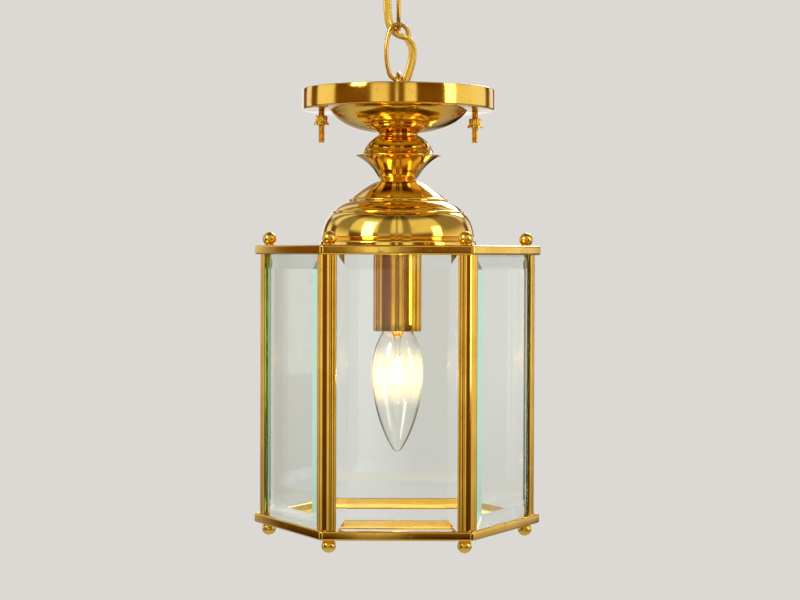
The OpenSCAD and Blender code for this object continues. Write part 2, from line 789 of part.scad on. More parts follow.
// A ball nut standing on z = 0, with a blind threaded hole from below
module ball_nut()
    difference() {
        union() {
            cylinder(r = ball_collar_r, h = ball_collar_h);
            translate([0, 0, ball_lift])
                sphere(r = ball_r, $fn = 48);
        }
        translate([-ball_r, -ball_r, -ball_r])
            cube([2 * ball_r, 2 * ball_r, ball_r]);
        translate([0, 0, -1])
            cylinder(r = tie_rod_r + screw_fit, h = ball_thread + 1, $fn = 32);
    }

module top_ball_nuts() color(PALE_BRASS)
    at_posts()
        translate([0, 0, lantern_z + tray_h])
            ball_nut();

module bottom_ball_nuts() color(PALE_BRASS)
    at_posts()
        translate([0, 0, lantern_z + ring_bottom])
            rotate([180, 0, 0])
                ball_nut();

// Socket

module socket_sleeve() color(BRASS)
    translate([0, 0, lantern_z])
        difference() {
            translate([0, 0, -sleeve_drop])
                cylinder(r = sleeve_r, h = sleeve_drop + top_sheet_under);
            translate([0, 0, -sleeve_drop - 1])
                cylinder(r = sleeve_r - sleeve_wall, h = sleeve_drop + top_sheet_under - sleeve_wall + 1);
            cylinder(r = pipe_r + pipe_fit, h = tray_h);
        }

module sleeve_nut() color(STEEL)
    translate([0, 0, lantern_z + top_sheet_under - sleeve_wall - sleeve_nut_h])
        difference() {
            cylinder(r = pipe_nut_r, h = sleeve_nut_h, $fn = 6);
            translate([0, 0, -1])
                cylinder(r = pipe_r + screw_fit, h = sleeve_nut_h + 2);
        }

module lampholder_body() color(PORCELAIN)
    translate([0, 0, lantern_z])
        difference() {
            translate([0, 0, holder_bottom])
                cylinder(r = holder_r, h = holder_top - holder_bottom);
            translate([0, 0, pipe_bottom - 1])
                cylinder(r = pipe_r + screw_fit, h = holder_top - pipe_bottom + 2);
            translate([0, 0, holder_shelf])
                cylinder(r = holder_cavity_r, h = pipe_bottom - holder_shelf);
            translate([0, 0, holder_bottom - 1])
                cylinder(r = shell_r + shell_fit, h = shelf_under - holder_bottom + 1);
            for (s = [-1, 1])
                translate([s * terminal_x, 0, shelf_under - 1])
                    cylinder(r = terminal_shank_r + screw_fit, h = holder_shelf_t + 2, $fn = 32);
        }

// Threaded shell with the tab that meets the right terminal
module lampholder_shell() color(PALE_BRASS)
    translate([0, 0, lantern_z]) {
        difference() {
            translate([0, 0, shell_top - shell_len])
                cylinder(r = shell_r, h = shell_len);
            translate([0, 0, shell_top - shell_len - 1])
                cylinder(r = lamp_cap_r + lamp_fit, h = shell_len + 2);
        }
        translate([shell_r - 0.55, -shell_tab_w / 2, shell_top - 0.2])
            cube([0.5, shell_tab_w, shelf_under - shell_top + 0.2]);
        translate([terminal_x - 1, -shell_tab_w / 2, shelf_under - contact_t])
            cube([shell_r - terminal_x + 0.95, shell_tab_w, contact_t]);
    }

// Strip under the shelf from the left terminal to the lamp's tip
module centre_contact() color(PALE_BRASS)
    translate([0, 0, lantern_z]) {
        translate([-terminal_x - terminal_shank_r, -contact_w / 2, shelf_under - contact_t])
            cube([terminal_x + terminal_shank_r + contact_r, contact_w, contact_t]);
        translate([0, 0, tip_z + contact_gap])
            cylinder(r = contact_r, h = shelf_under - 0.4 - tip_z - contact_gap, $fn = 32);
    }

module terminal_screws() color(STEEL)
    for (s = [-1, 1])
        translate([s * terminal_x, 0, lantern_z + holder_shelf]) {
            cylinder(r = terminal_r, h = terminal_h, $fn = 32);
            translate([0, 0, -holder_shelf_t])
                cylinder(r = terminal_shank_r, h = holder_shelf_t + 0.5, $fn = 32);
        }

module inner_flex() color(FLEX)
    translate([0, 0, lantern_z + flex_end])
        linear_extrude(route_point(len(flex_route) - 1)[2] - lantern_z - flex_end)
            polygon(flex_profile);

module core_wires() color(DARK)
    for (s = [-1, 1]) {
        start = [s * (flex_w - flex_t) / 2, 0, lantern_z + flex_end];
        knee = [s * terminal_x, 0, lantern_z + holder_shelf + core_knee];
        foot = [s * terminal_x, 0, lantern_z + holder_shelf + terminal_h];
        rod_between(knee, start - [0, 0, 1], core_r);
        translate(knee)
            sphere(r = core_r + 0.05, $fn = 32);
        rod_between(foot, knee, core_r);
    }

// Lamp

module lamp_cap() color(PALE_BRASS)
    translate([0, 0, lantern_z + glass_top])
        rotate_extrude()
            polygon(concat([[0, 0], [lamp_cap_r - cap_ridge, 0], [lamp_cap_r, 0.4]],
                [for (k = [1:5]) each [
                    [lamp_cap_r, k * thread_pitch - 1],
                    [lamp_cap_r - cap_ridge, k * thread_pitch],
                    [lamp_cap_r, k * thread_pitch + 1]]],
                [[lamp_cap_r, cap_len - 1.5], [lamp_cap_r - 1.5, cap_len], [0, cap_len]]));

module lamp_insulator() color(DARK)
    translate([0, 0, lantern_z + cap_top])
        cylinder(r1 = insulator_r, r2 = insulator_tip_r, h = insulator_h);

module lamp_tip() color(STEEL)
    translate([0, 0, lantern_z + cap_top + insulator_h])
        cylinder(r = tip_r, h = tip_h, $fn = 32);

// The lamp's glass from its neck down to its point, heights from its neck
function lamp_outline(r, h) = concat(
    curve4([lamp_cap_r, 0], [13, -0.115 * h], [r, -0.19 * h], [r, -0.35 * h]),
    curve4([r, -0.36 * h], [r, -0.57 * h], [0.66 * r, -0.83 * h], [2.6, 1.1 - h], 16)
);

module lamp_glass() color(GLASS, 0.4)
    translate([0, 0, lantern_z + glass_top])
        rotate_extrude()
            polygon(concat([[lamp_cap_r - glass_wall, 0]], lamp_outline(lamp_r, lamp_glass_h),
                [[1.7, 0.4 - lamp_glass_h], [0.8, 0.1 - lamp_glass_h], [0, -lamp_glass_h],
                [0, 1.5 * glass_wall - lamp_glass_h]],
                reversed([for (p = lamp_outline(lamp_r, lamp_glass_h)) if (p[1] < 0)
                    [p[0] - glass_wall, p[1] + (p[1] < -lamp_glass_h / 2 ? glass_wall / 2 : 0)]])));

module lamp_lead(s, r)
    rod_between([s * wire_spread, 0, lantern_z + glass_top - stem_len - wire_drop + 0.12],
        [s * lead_foot, 0, lantern_z + glass_top - stem_len + 1], r);

module lamp_stem() color(GLASS, 0.5)
    difference() {
        translate([0, 0, lantern_z + glass_top - stem_len])
            rotate_extrude()
                polygon(concat([[0, 0]], arc([1.2, 0.8], 0.8, -90, 0, 4),
                    curve3([2.1, 8], [2.4, 14], [5.6, stem_len], 8), [[0, stem_len]]));
        for (s = [-1, 1])
            lamp_lead(s, lead_r + 0.05);
    }

module lamp_wires() color(STEEL)
    for (s = [-1, 1])
        lamp_lead(s, lead_r);

module lamp_filament() color("#fff0c8")
    translate([0, 0, lantern_z + glass_top - stem_len - wire_drop])
        rotate([90, 0, 0])
            rotate([0, 0, 180])
                rotate_extrude(angle = 180)
                    translate([wire_spread, 0])
                        circle(r = filament_r, $fn = 16);

ceiling_plate();
ceiling_hook();
cable_bush();
flex_top();
upper_link();
flex_middle();
lower_link();
flex_bottom();
chain_loop();
lock_nut();
canopy();
mounting_bar();
stud_screws();
left_stud_nut();
right_stud_nut();
stem_pipe();
collar_cap();
collar_cone();
dome_cap();
top_tray();
bottom_ring();
for (k = [1:6]) corner_post(k);
for (k = [1:6]) glass_pane(k);
tie_rods();
top_ball_nuts();
bottom_ball_nuts();
socket_sleeve();
sleeve_nut();
lampholder_body();
lampholder_shell();
centre_contact();
terminal_screws();
inner_flex();
core_wires();
lamp_cap();
lamp_insulator();
lamp_tip();
lamp_glass();
lamp_stem();
lamp_wires();
lamp_filament();
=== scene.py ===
"""Looks of the six-sided brass hanging lantern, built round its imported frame.

The frame gives the pieces, their bodies and their joints. This script adds
the camera, the light, smooth meshes for the pieces whose surface shows, and
a finish for every piece. Sizes are in millimetres until a mesh is made.
"""
import logging
import math
from dataclasses import dataclass
from enum import Enum
from typing import Any, Iterable, Optional, Sequence

import bmesh
import bpy
from mathutils import Matrix, Vector


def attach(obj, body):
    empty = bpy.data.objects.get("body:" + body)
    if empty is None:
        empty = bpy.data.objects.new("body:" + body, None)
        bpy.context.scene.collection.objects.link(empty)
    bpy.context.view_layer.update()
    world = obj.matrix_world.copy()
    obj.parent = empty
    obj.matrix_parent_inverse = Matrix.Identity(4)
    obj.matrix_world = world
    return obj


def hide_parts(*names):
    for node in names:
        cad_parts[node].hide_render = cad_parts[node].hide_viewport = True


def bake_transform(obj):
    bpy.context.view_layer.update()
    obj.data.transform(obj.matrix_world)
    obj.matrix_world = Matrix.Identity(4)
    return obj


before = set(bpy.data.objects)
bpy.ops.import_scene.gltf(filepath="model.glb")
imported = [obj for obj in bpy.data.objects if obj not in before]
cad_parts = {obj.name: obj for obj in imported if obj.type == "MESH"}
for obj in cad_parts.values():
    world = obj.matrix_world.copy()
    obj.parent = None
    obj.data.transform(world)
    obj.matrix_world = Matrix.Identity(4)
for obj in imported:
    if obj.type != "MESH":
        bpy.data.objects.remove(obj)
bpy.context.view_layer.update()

LOG = logging.getLogger("lantern")

MM = 0.001
# Heights above the top tray's lower lip, which is at LANTERN_Z in the frame
LANTERN_Z = -198.75
CLEAR_H = 162.5
TRAY_H = 5.7
DOME_TOP = TRAY_H + 40.6
DISC_Z = DOME_TOP + 15.5
CANOPY_FLOOR = DISC_Z + 13.9
LEDGE = CANOPY_FLOOR + 14.3
CANOPY_TOP = LEDGE + 12.9
PIPE_HOLE_R = 5.2

Point2 = tuple[float, float]
Point3 = tuple[float, float, float]
Faces = list[list[int]]
Solid = tuple[list[Point3], Faces]
Colour = tuple[float, float, float, float]


# Outlines and solids

def arc(centre: Point2, r: float, start: float, end: float, n: int = 8) -> list[Point2]:
    """Points of an arc from one angle to another, in degrees."""
    angles = [math.radians(start + (end - start) * i / n) for i in range(n + 1)]
    return [(centre[0] + r * math.cos(a), centre[1] + r * math.sin(a)) for a in angles]


def curve(controls: Sequence[Point2], n: int) -> list[Point2]:
    """Sample a Bezier curve.

    Args:
        controls: Its three or four control points.
        n: How many steps to take along it.

    Returns:
        The n + 1 points, ends included.
    """
    points = []
    for i in range(n + 1):
        t, row = i / n, list(controls)
        while len(row) > 1:
            row = [tuple(p + (q - p) * t for p, q in zip(a, b)) for a, b in zip(row, row[1:])]
        points.append(row[0])
    return points


def hexagon(apothem: float, corner_r: float, n: int = 10) -> list[Point2]:
    """A hexagon with rounded corners and flat sides facing the Y axis."""
    reach = (apothem - corner_r) / math.cos(math.radians(30))
    points: list[Point2] = []
    for k in range(6):
        a = math.radians(60 * k)
        centre = (reach * math.cos(a), reach * math.sin(a))
        points += arc(centre, corner_r, 60 * k - 30, 60 * k + 30, n)
    return points


def loft(rings: Sequence[Sequence[Point3]], around: bool = True, ring_loop: bool = False,
         caps: bool = False) -> Solid:
    """Join rings of equally many points with faces.

    Args:
        rings: The rings, each a list of points.
        around: Whether each ring closes on itself.
        ring_loop: Whether the last ring joins the first.
        caps: Whether the first and last rings are filled.

    Returns:
        The points and the faces.
    """
    n = len(rings[0])
    points = [p for ring in rings for p in ring]
    count = len(rings)
    faces: Faces = []
    for r in range(count if ring_loop else count - 1):
        a, b = r * n, (r + 1) % count * n
        for s in range(n if around else n - 1):
            t = (s + 1) % n
            faces.append([a + s, a + t, b + t, b + s])
    if caps:
        faces.append(list(range(n - 1, -1, -1)))
        faces.append([(count - 1) * n + s for s in range(n)])
    return points, faces


def revolve(profile: Sequence[Point2], segments: int = 144, at: Point3 = (0, 0, 0)) -> Solid:
    """Turn a closed profile about a vertical axis.

    Args:
        profile: Radius and height of each corner; the last joins the first.
        segments: Steps around the axis.
        at: Where the profile's origin goes.

    Returns:
        The points and the faces. Corners on the axis become one point each.
    """
    points: list[Point3] = []
    rings: list[list[int]] = []
    turns = [2 * math.pi * s / segments for s in range(segments)]
    for r, z in profile:
        here = [0.0] if r < 1e-6 else turns
        rings.append(list(range(len(points), len(points) + len(here))))
        points += [(at[0] + r * math.cos(a), at[1] + r * math.sin(a), at[2] + z) for a in here]
    faces: Faces = []
    for a, b in zip(rings, rings[1:] + rings[:1]):
        if len(a) == 1 and len(b) == 1:
            continue
        for s in range(segments):
            t = (s + 1) % segments
            corners = [a[s % len(a)], a[t % len(a)], b[t % len(b)], b[s % len(b)]]
            faces.append(list(dict.fromkeys(corners)))
    return points, faces


def tube(path: Sequence[Point3], radii: Sequence[float], sides: int = 20,
         closed: bool = False) -> Solid:
    """Round wire along a path.

    Args:
        path: The wire's centreline.
        radii: Its radius at each point.
        sides: Steps around the wire.
        closed: Whether the path is a closed ring.

    Returns:
        The points and the faces, with flat ends on an open path.
    """
    points = [Vector(p) for p in path]
    count = len(points)
    ways = []
    for i in range(count):
        before = points[i - 1] if closed or i else points[0]
        after = points[(i + 1) % count] if closed or i < count - 1 else points[-1]
        ways.append((after - before).normalized())
    side = ways[0].orthogonal().normalized()
    rings = []
    for p, way, r in zip(points, ways, radii):
        side = (side - way * side.dot(way)).normalized()
        up = way.cross(side)
        rings.append([tuple(p + (side * math.cos(a) + up * math.sin(a)) * r)
                      for a in (2 * math.pi * s / sides for s in range(sides))])
    return loft(rings, ring_loop=closed, caps=not closed)


def thread(r: float, depth: float, pitch: float, bottom: float, top: float, sides: int = 24,
           steps: int = 6, rounded: bool = False, bore: float = 0.0,
           at: Point3 = (0, 0, 0)) -> Solid:
    """A rod or sleeve with a real helical thread.

    Args:
        r: Radius over the thread.
        depth: Depth of the thread.
        pitch: Rise of one turn.
        bottom: Height of the lower end.
        top: Height of the upper end.
        sides: Steps around.
        steps: Rings for each turn of the thread.
        rounded: Whether the thread is rolled round, as on a lamp cap.
        bore: Radius of the hole, or 0 for a solid rod.
        at: Where the origin goes.

    Returns:
        The points and the faces.
    """
    count = max(2, round((top - bottom) / pitch * steps))
    rings = []
    for i in range(count + 1):
        z = bottom + (top - bottom) * i / count
        fade = min(1.0, (z - bottom) / pitch, (top - z) / pitch)
        ring = []
        for s in range(sides):
            phase = (z / pitch - s / sides) % 1
            wave = 0.5 - 0.5 * math.cos(2 * math.pi * phase) if rounded else 1 - abs(2 * phase - 1)
            reach = r - depth * (1 - wave * fade)
            a = 2 * math.pi * s / sides
            ring.append((at[0] + reach * math.cos(a), at[1] + reach * math.sin(a), at[2] + z))
        rings.append(ring)
    if bore <= 0:
        return loft(rings, caps=True)
    for z in (top, bottom):
        rings.append([(at[0] + bore * math.cos(a), at[1] + bore * math.sin(a), at[2] + z)
                      for a in (2 * math.pi * s / sides for s in range(sides))])
    return loft(rings, ring_loop=True)


def merged(solids: Iterable[Solid]) -> Solid:
    """Several solids as one list of points and faces."""
    points: list[Point3] = []
    faces: Faces = []
    for more, sides in solids:
        start = len(points)
        points += more
        faces += [[start + i for i in face] for face in sides]
    return points, faces


def moved(solid: Solid, matrix: Matrix) -> Solid:
    """A solid after a move or a turn."""
    return [tuple(matrix @ Vector(p)) for p in solid[0]], solid[1]


def turned(solid: Solid, degrees: float) -> Solid:
    """A solid turned about the lantern's axis."""
    return moved(solid, Matrix.Rotation(math.radians(degrees), 4, "Z"))


def piece(name: str, solid: Solid, material: bpy.types.Material,
          crease: float = 32.0) -> bpy.types.Object:
    """Make an object of a solid.

    Args:
        name: The object's name.
        solid: Its points in millimetres, and its faces.
        material: Its finish.
        crease: Faces that meet at a larger angle, in degrees, keep a crisp edge.

    Returns:
        The object, at the frame's origin.
    """
    mesh = bpy.data.meshes.new(name)
    mesh.from_pydata([[c * MM for c in p] for p in solid[0]], [], solid[1])
    shape = bmesh.new()
    shape.from_mesh(mesh)
    bmesh.ops.recalc_face_normals(shape, faces=shape.faces)
    shape.to_mesh(mesh)
    shape.free()
    mesh.materials.append(material)
    mesh.shade_smooth()
    mesh.set_sharp_from_angle(angle=math.radians(crease))
    obj = bpy.data.objects.new(name, mesh)
    bpy.context.scene.collection.objects.link(obj)
    return obj


def bored(obj: bpy.types.Object, holes: Iterable[Solid]) -> bpy.types.Object:
    """Cut holes in a piece and drop the cutters."""
    for i, solid in enumerate(holes):
        cutter = piece(f"cutter_{i}", solid, obj.data.materials[0])
        cut = obj.modifiers.new("hole", "BOOLEAN")
        cut.operation, cut.solver, cut.object = "DIFFERENCE", "EXACT", cutter
        bpy.context.view_layer.update()
        shaped = bpy.data.meshes.new_from_object(
            obj.evaluated_get(bpy.context.evaluated_depsgraph_get()))
        obj.modifiers.clear()
        obj.data = shaped
        bpy.data.objects.remove(cutter)
    return obj


def seat(obj: bpy.types.Object, body: str, slot: str, *nodes: str) -> bpy.types.Object:
    """Fix a piece to its body and report it.

    Args:
        obj: The piece.
        body: The body that it moves with.
        slot: The record's material slot. Not used.
        nodes: The frame's nodes that it stands for.

    Returns:
        The piece.
    """
    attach(obj, body)
    if nodes:
        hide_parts(*nodes)
    LOG.info("%s rides on %s", obj.name, body)
    return obj


def dress(node: str, material: bpy.types.Material) -> None:
    """Give one of the frame's own pieces a finish."""
    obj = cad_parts[node]
    if not obj.material_slots:
        obj.data.materials.append(material)
    for place in obj.material_slots:
        place.material = material
    LOG.info("%s keeps its own mesh", node)


# Finishes

def linear(hex_colour: str) -> Colour:
    """A colour such as #c08a3e as linear red, green, blue and alpha."""
    channels = [int(hex_colour[i:i + 2], 16) / 255 for i in (1, 3, 5)]
    r, g, b = (c / 12.92 if c <= 0.04045 else ((c + 0.055) / 1.055) ** 2.4 for c in channels)
    return r, g, b, 1.0


def add(tree: bpy.types.NodeTree, kind: str, inputs: Optional[dict[Any, Any]] = None,
        **settings: Any) -> bpy.types.Node:
    """Add a shader node.

    Args:
        tree: The node tree.
        kind: The node's type, without its ShaderNode prefix.
        inputs: Values or other nodes' outputs, by input name or number.
        settings: The node's own settings.

    Returns:
        The node.
    """
    node = tree.nodes.new("ShaderNode" + kind)
    for name, value in settings.items():
        setattr(node, name, value)
    for key, value in (inputs or {}).items():
        if isinstance(value, bpy.types.NodeSocket):
            tree.links.new(value, node.inputs[key])
        else:
            node.inputs[key].default_value = value
    return node


def blank(name: str) -> tuple[bpy.types.Material, bpy.types.NodeTree]:
    """A new material with an empty node tree."""
    material = bpy.data.materials.new(name)
    material.use_nodes = True
    material.node_tree.nodes.clear()
    return material, material.node_tree


class Working(Enum):
    """How a metal surface was made, which sets the run of its fine lines."""

    SPUN = "lines round the lantern's axis"
    TURNED = "lines round the piece's own upright axis"
    DRAWN = "lines along the piece"
    PRESSED = "no lines, only the die's faint ripple"


@dataclass(frozen=True)
class Metal:
    """A metal with fine tool lines and slow changes of tone.

    The tool lines of real polish are 0.05 mm apart or less. They are drawn
    at line_pitch so that they show as a soft streak in the reflections.
    """

    name: str
    slot: str
    working: Working
    bright: str
    deep: str
    stain: str
    smooth: float = 0.06
    rough: float = 0.14
    line_pitch: float = 0.5
    line_depth: float = 0.004
    patch: float = 26.0
    stain_share: float = 0.35
    lacquer: float = 0.0
    glow: float = 0.0

    def material(self) -> bpy.types.Material:
        """The finish, made once and shared."""
        if self.name in bpy.data.materials:
            return bpy.data.materials[self.name]
        material, tree = blank(self.name)
        place = add(tree, "TexCoord").outputs["Object"]
        lines = add(tree, "TexNoise", {"Vector": self.line_vector(tree, place),
                                       "Scale": 1.0, "Detail": 2.0}).outputs["Fac"]
        patches = add(tree, "TexNoise", {"Vector": place, "Scale": 1 / (self.patch * MM),
                                         "Detail": 3.0}).outputs["Fac"]
        specks = add(tree, "TexNoise", {"Vector": place, "Scale": 1 / (5 * MM),
                                        "Detail": 6.0, "Roughness": 0.7}).outputs["Fac"]
        tone = add(tree, "MapRange", {0: patches, 1: 0.35, 2: 0.65, 3: 0.0, 4: 1.0})
        stained = add(tree, "MapRange", {0: specks, 1: 0.58, 2: 0.72, 3: 0.0,
                                         4: self.stain_share})
        clean = add(tree, "Mix", {0: tone.outputs[0], 6: linear(self.bright),
                                  7: linear(self.deep)}, data_type="RGBA")
        colour = add(tree, "Mix", {0: stained.outputs[0], 6: clean.outputs[2],
                                   7: linear(self.stain)}, data_type="RGBA")
        worn = add(tree, "MapRange", {0: patches, 1: 0.3, 2: 0.7, 3: self.smooth,
                                      4: self.rough})
        dull = add(tree, "Math", {0: stained.outputs[0], 1: 0.3, 2: worn.outputs[0]},
                   operation="MULTIPLY_ADD")
        bump = add(tree, "Bump", {"Height": lines, "Strength": 1.0,
                                  "Distance": self.line_depth * MM})
        surface = add(tree, "BsdfPrincipled", {
            "Base Color": colour.outputs[2], "Metallic": 1.0, "Roughness": dull.outputs[0],
            "Normal": bump.outputs[0], "Coat Weight": self.lacquer, "Coat Roughness": 0.06,
            "Emission Color": linear("#ffb45a"), "Emission Strength": self.glow})
        add(tree, "OutputMaterial", {"Surface": surface.outputs[0]})
        return material

    def line_vector(self, tree: bpy.types.NodeTree,
                    place: bpy.types.NodeSocket) -> bpy.types.NodeSocket:
        """Coordinates that change across the tool lines and not along them."""
        across = 1 / (self.line_pitch * MM)
        if self.working is Working.SPUN:
            flat = add(tree, "VectorMath", {0: place, 1: (1.0, 1.0, 0.0)}, operation="MULTIPLY")
            reach = add(tree, "VectorMath", {0: flat.outputs[0]}, operation="LENGTH")
            height = add(tree, "SeparateXYZ", {0: place}).outputs[2]
            place = add(tree, "CombineXYZ", {0: reach.outputs["Value"], 1: height}).outputs[0]
            stretch = (across, across, 0.0)
        elif self.working is Working.TURNED:
            stretch = (across / 40, across / 40, across)
        elif self.working is Working.DRAWN:
            stretch = (across, across, across / 150)
        else:
            stretch = (across / 6, across / 6, across / 6)
        return add(tree, "VectorMath", {0: place, 1: stretch}, operation="MULTIPLY").outputs[0]


@dataclass(frozen=True)
class ClearGlass:
    """Clear glass that lets the lamps' light in.

    Light for the pieces behind it passes straight through, tinted by its
    colour; what the eye sees is bent and mirrored as real glass does. Light
    that is caught in a pane leaves it after a few turns, as green as a pane
    looks along its plane.
    """

    name: str
    slot: str
    tint: str
    shade: str
    ior: float
    ripple_width: float
    ripple: float
    caught: str = "#b9dfc9"
    # Strength of a painted glow that the glass itself gives out, and the height of its centre
    painted_glow: float = 0.0
    painted_glow_z: float = 0.0

    def material(self) -> bpy.types.Material:
        """The finish, made once and shared."""
        if self.name in bpy.data.materials:
            return bpy.data.materials[self.name]
        material, tree = blank(self.name)
        place = add(tree, "TexCoord").outputs["Object"]
        wave = add(tree, "TexNoise", {"Vector": place, "Detail": 1.0,
                                      "Scale": 1 / (self.ripple_width * MM)}).outputs["Fac"]
        bump = add(tree, "Bump", {"Height": wave, "Strength": 1.0,
                                  "Distance": self.ripple * MM})
        glass = add(tree, "BsdfPrincipled", {
            "Base Color": linear(self.tint), "Roughness": 0.0, "IOR": self.ior,
            "Transmission Weight": 1.0, "Normal": bump.outputs[0]})
        path = add(tree, "LightPath")
        turns = add(tree, "Math", {0: path.outputs["Glossy Depth"], 1: 2.5},
                    operation="GREATER_THAN").outputs[0]
        tone = add(tree, "Mix", {0: turns, 6: linear(self.shade), 7: linear(self.caught)},
                   data_type="RGBA")
        through = add(tree, "BsdfTransparent", {"Color": tone.outputs[2]})
        straight = add(tree, "Math", {0: path.outputs["Is Shadow Ray"], 1: turns},
                       operation="MAXIMUM").outputs[0]
        mix = add(tree, "MixShader", {0: straight, 1: glass.outputs[0], 2: through.outputs[0]})
        # The glass gives out a painted warm glow round the filament
        if self.painted_glow:
            mix = self.lit(tree, place, mix)
        add(tree, "OutputMaterial", {"Surface": mix.outputs[0]})
        return material

    def lit(self, tree: bpy.types.NodeTree, place: bpy.types.NodeSocket,
            clear: bpy.types.Node) -> bpy.types.Node:
        """Add a painted glow: the glass itself gives out warm light, strongest beside the lit filament.
        """
        away = add(tree, "VectorMath", {0: place, 1: (0.0, 0.0, self.painted_glow_z * MM)},
                   operation="DISTANCE").outputs["Value"]
        share = add(tree, "MapRange", {0: away, 1: 11 * MM, 2: 25 * MM, 3: 1.0, 4: 0.0},
                    interpolation_type="SMOOTHSTEP").outputs[0]
        light = add(tree, "Math", {0: share, 1: self.painted_glow}, operation="MULTIPLY").outputs[0]
        glow = add(tree, "Emission", {"Color": linear("#ffe0a0"), "Strength": light})
        return add(tree, "AddShader", {0: clear.outputs[0], 1: glow.outputs[0]})


@dataclass(frozen=True)
class GroundGlass:
    """The cut edge of plate glass, ground matt, where its green tint shows.

    Light that enters a pane leaves at its edge, so the edge looks pale green.
    """

    name: str
    slot: str
    light: str
    dark: str
    grit: float = 0.35

    def material(self) -> bpy.types.Material:
        """The finish, made once and shared."""
        if self.name in bpy.data.materials:
            return bpy.data.materials[self.name]
        material, tree = blank(self.name)
        place = add(tree, "TexCoord").outputs["Object"]
        cloud = add(tree, "TexNoise", {"Vector": place, "Scale": 1 / (14 * MM),
                                       "Detail": 3.0}).outputs["Fac"]
        grit = add(tree, "TexNoise", {"Vector": place, "Scale": 1 / (self.grit * MM),
                                      "Detail": 2.0}).outputs["Fac"]
        colour = add(tree, "Mix", {0: cloud, 6: linear(self.light), 7: linear(self.dark)},
                     data_type="RGBA")
        bump = add(tree, "Bump", {"Height": grit, "Strength": 1.0, "Distance": 0.02 * MM})
        surface = add(tree, "BsdfPrincipled", {
            "Base Color": colour.outputs[2], "Roughness": 0.55, "IOR": 1.52,
            "Normal": bump.outputs[0]})
        add(tree, "OutputMaterial", {"Surface": surface.outputs[0]})
        return material


@dataclass(frozen=True)
class Moulded:
    """A plastic or ceramic surface with a fine grain and faint mottling."""

    name: str
    slot: str
    light: str
    dark: str
    roughness: float
    grain: float
    depth: float
    coat: float = 0.0

    def material(self) -> bpy.types.Material:
        """The finish, made once and shared."""
        if self.name in bpy.data.materials:
            return bpy.data.materials[self.name]
        material, tree = blank(self.name)
        place = add(tree, "TexCoord").outputs["Object"]
        mottle = add(tree, "TexNoise", {"Vector": place, "Scale": 1 / (8 * MM),
                                        "Detail": 4.0}).outputs["Fac"]
        grain = add(tree, "TexNoise", {"Vector": place, "Scale": 1 / (self.grain * MM),
                                       "Detail": 2.0}).outputs["Fac"]
        colour = add(tree, "Mix", {0: mottle, 6: linear(self.light), 7: linear(self.dark)},
                     data_type="RGBA")
        rough = add(tree, "MapRange", {0: mottle, 1: 0.3, 2: 0.7, 3: self.roughness * 0.8,
                                       4: self.roughness * 1.2})
        bump = add(tree, "Bump", {"Height": grain, "Strength": 1.0,
                                  "Distance": self.depth * MM})
        surface = add(tree, "BsdfPrincipled", {
            "Base Color": colour.outputs[2], "Roughness": rough.outputs[0], "IOR": 1.5,
            "Normal": bump.outputs[0], "Coat Weight": self.coat, "Coat Roughness": 0.05})
        add(tree, "OutputMaterial", {"Surface": surface.outputs[0]})
        return material


@dataclass(frozen=True)
class GoldFlex:
    """Clear gold PVC over two stranded cores.

    The cores' strands show through the skin as slanting streaks. The mesh
    carries the lay: U goes once round the section and V is metres along it.
    """

    name: str = "gold_pvc_flex"
    slot: str = "gold_flex"
    skin: str = "#ffcb24"
    strand: str = "#ffe264"
    gap: str = "#c8860e"
    lay: float = 9.0
    strands: float = 14.0

    def material(self) -> bpy.types.Material:
        """The finish, made once and shared."""
        if self.name in bpy.data.materials:
            return bpy.data.materials[self.name]
        material, tree = blank(self.name)
        place = add(tree, "UVMap", uv_map="lay").outputs[0]
        slant = add(tree, "VectorMath", {0: place, 1: (self.strands, 2 * self.strands
                                                       / (self.lay * MM), 0.0)},
                    operation="MULTIPLY").outputs[0]
        parts = add(tree, "SeparateXYZ", {0: slant})
        phase = add(tree, "Math", {0: parts.outputs[0], 1: parts.outputs[1]}, operation="ADD")
        ripple = add(tree, "Math", {0: phase.outputs[0], 1: 0.5}, operation="PINGPONG")
        strand = add(tree, "MapRange", {0: ripple.outputs[0], 1: 0.05, 2: 0.4, 3: 0.0, 4: 1.0})
        clean = add(tree, "Mix", {0: strand.outputs[0], 6: linear(self.gap),
                                  7: linear(self.strand)}, data_type="RGBA")
        colour = add(tree, "Mix", {0: 0.55, 6: clean.outputs[2], 7: linear(self.skin)},
                     data_type="RGBA")
        surface = add(tree, "BsdfPrincipled", {
            "Base Color": colour.outputs[2], "Metallic": 0.35, "Roughness": 0.25, "IOR": 1.53,
            "Coat Weight": 1.0, "Coat Roughness": 0.08})
        add(tree, "OutputMaterial", {"Surface": surface.outputs[0]})
        return material


# Brass sheet, spun or pressed, polished and lacquered
SPUN_BRASS = Metal("lacquered_spun_brass", "brass", Working.SPUN,
                   "#f6c952", "#edb942", "#ad7426", lacquer=0.3)
PRESSED_BRASS = Metal("lacquered_pressed_brass", "brass", Working.PRESSED,
                      "#f5c74f", "#e9b53f", "#a87024", lacquer=0.3, line_depth=0.004)
# Inside the trays, where no polishing wheel reaches, so the lamp's light spreads in it
SATIN_BRASS = Metal("unpolished_pressed_brass", "brass", Working.PRESSED,
                    "#f7cf5c", "#efc04a", "#b47c30", smooth=0.36, rough=0.46)
DRAWN_BRASS = Metal("lacquered_drawn_brass", "brass", Working.DRAWN,
                    "#f4c54c", "#e5b03c", "#a46c22", lacquer=0.3)
WIRE_BRASS = Metal("brass_wire", "brass", Working.PRESSED,
                   "#efc05a", "#d9a440", "#946424", smooth=0.12, rough=0.24,
                   line_depth=0.008)
TURNED_BRASS = Metal("lathe_turned_brass", "turned_brass", Working.TURNED,
                     "#f7c94e", "#edb93e", "#a8702a", smooth=0.2, rough=0.3,
                     line_pitch=0.35, lacquer=0.3)
SLEEVE_BRASS = Metal("brass_tube", "brass", Working.DRAWN,
                     "#f0b832", "#da9a22", "#985c14", lacquer=0.25, line_depth=0.006)
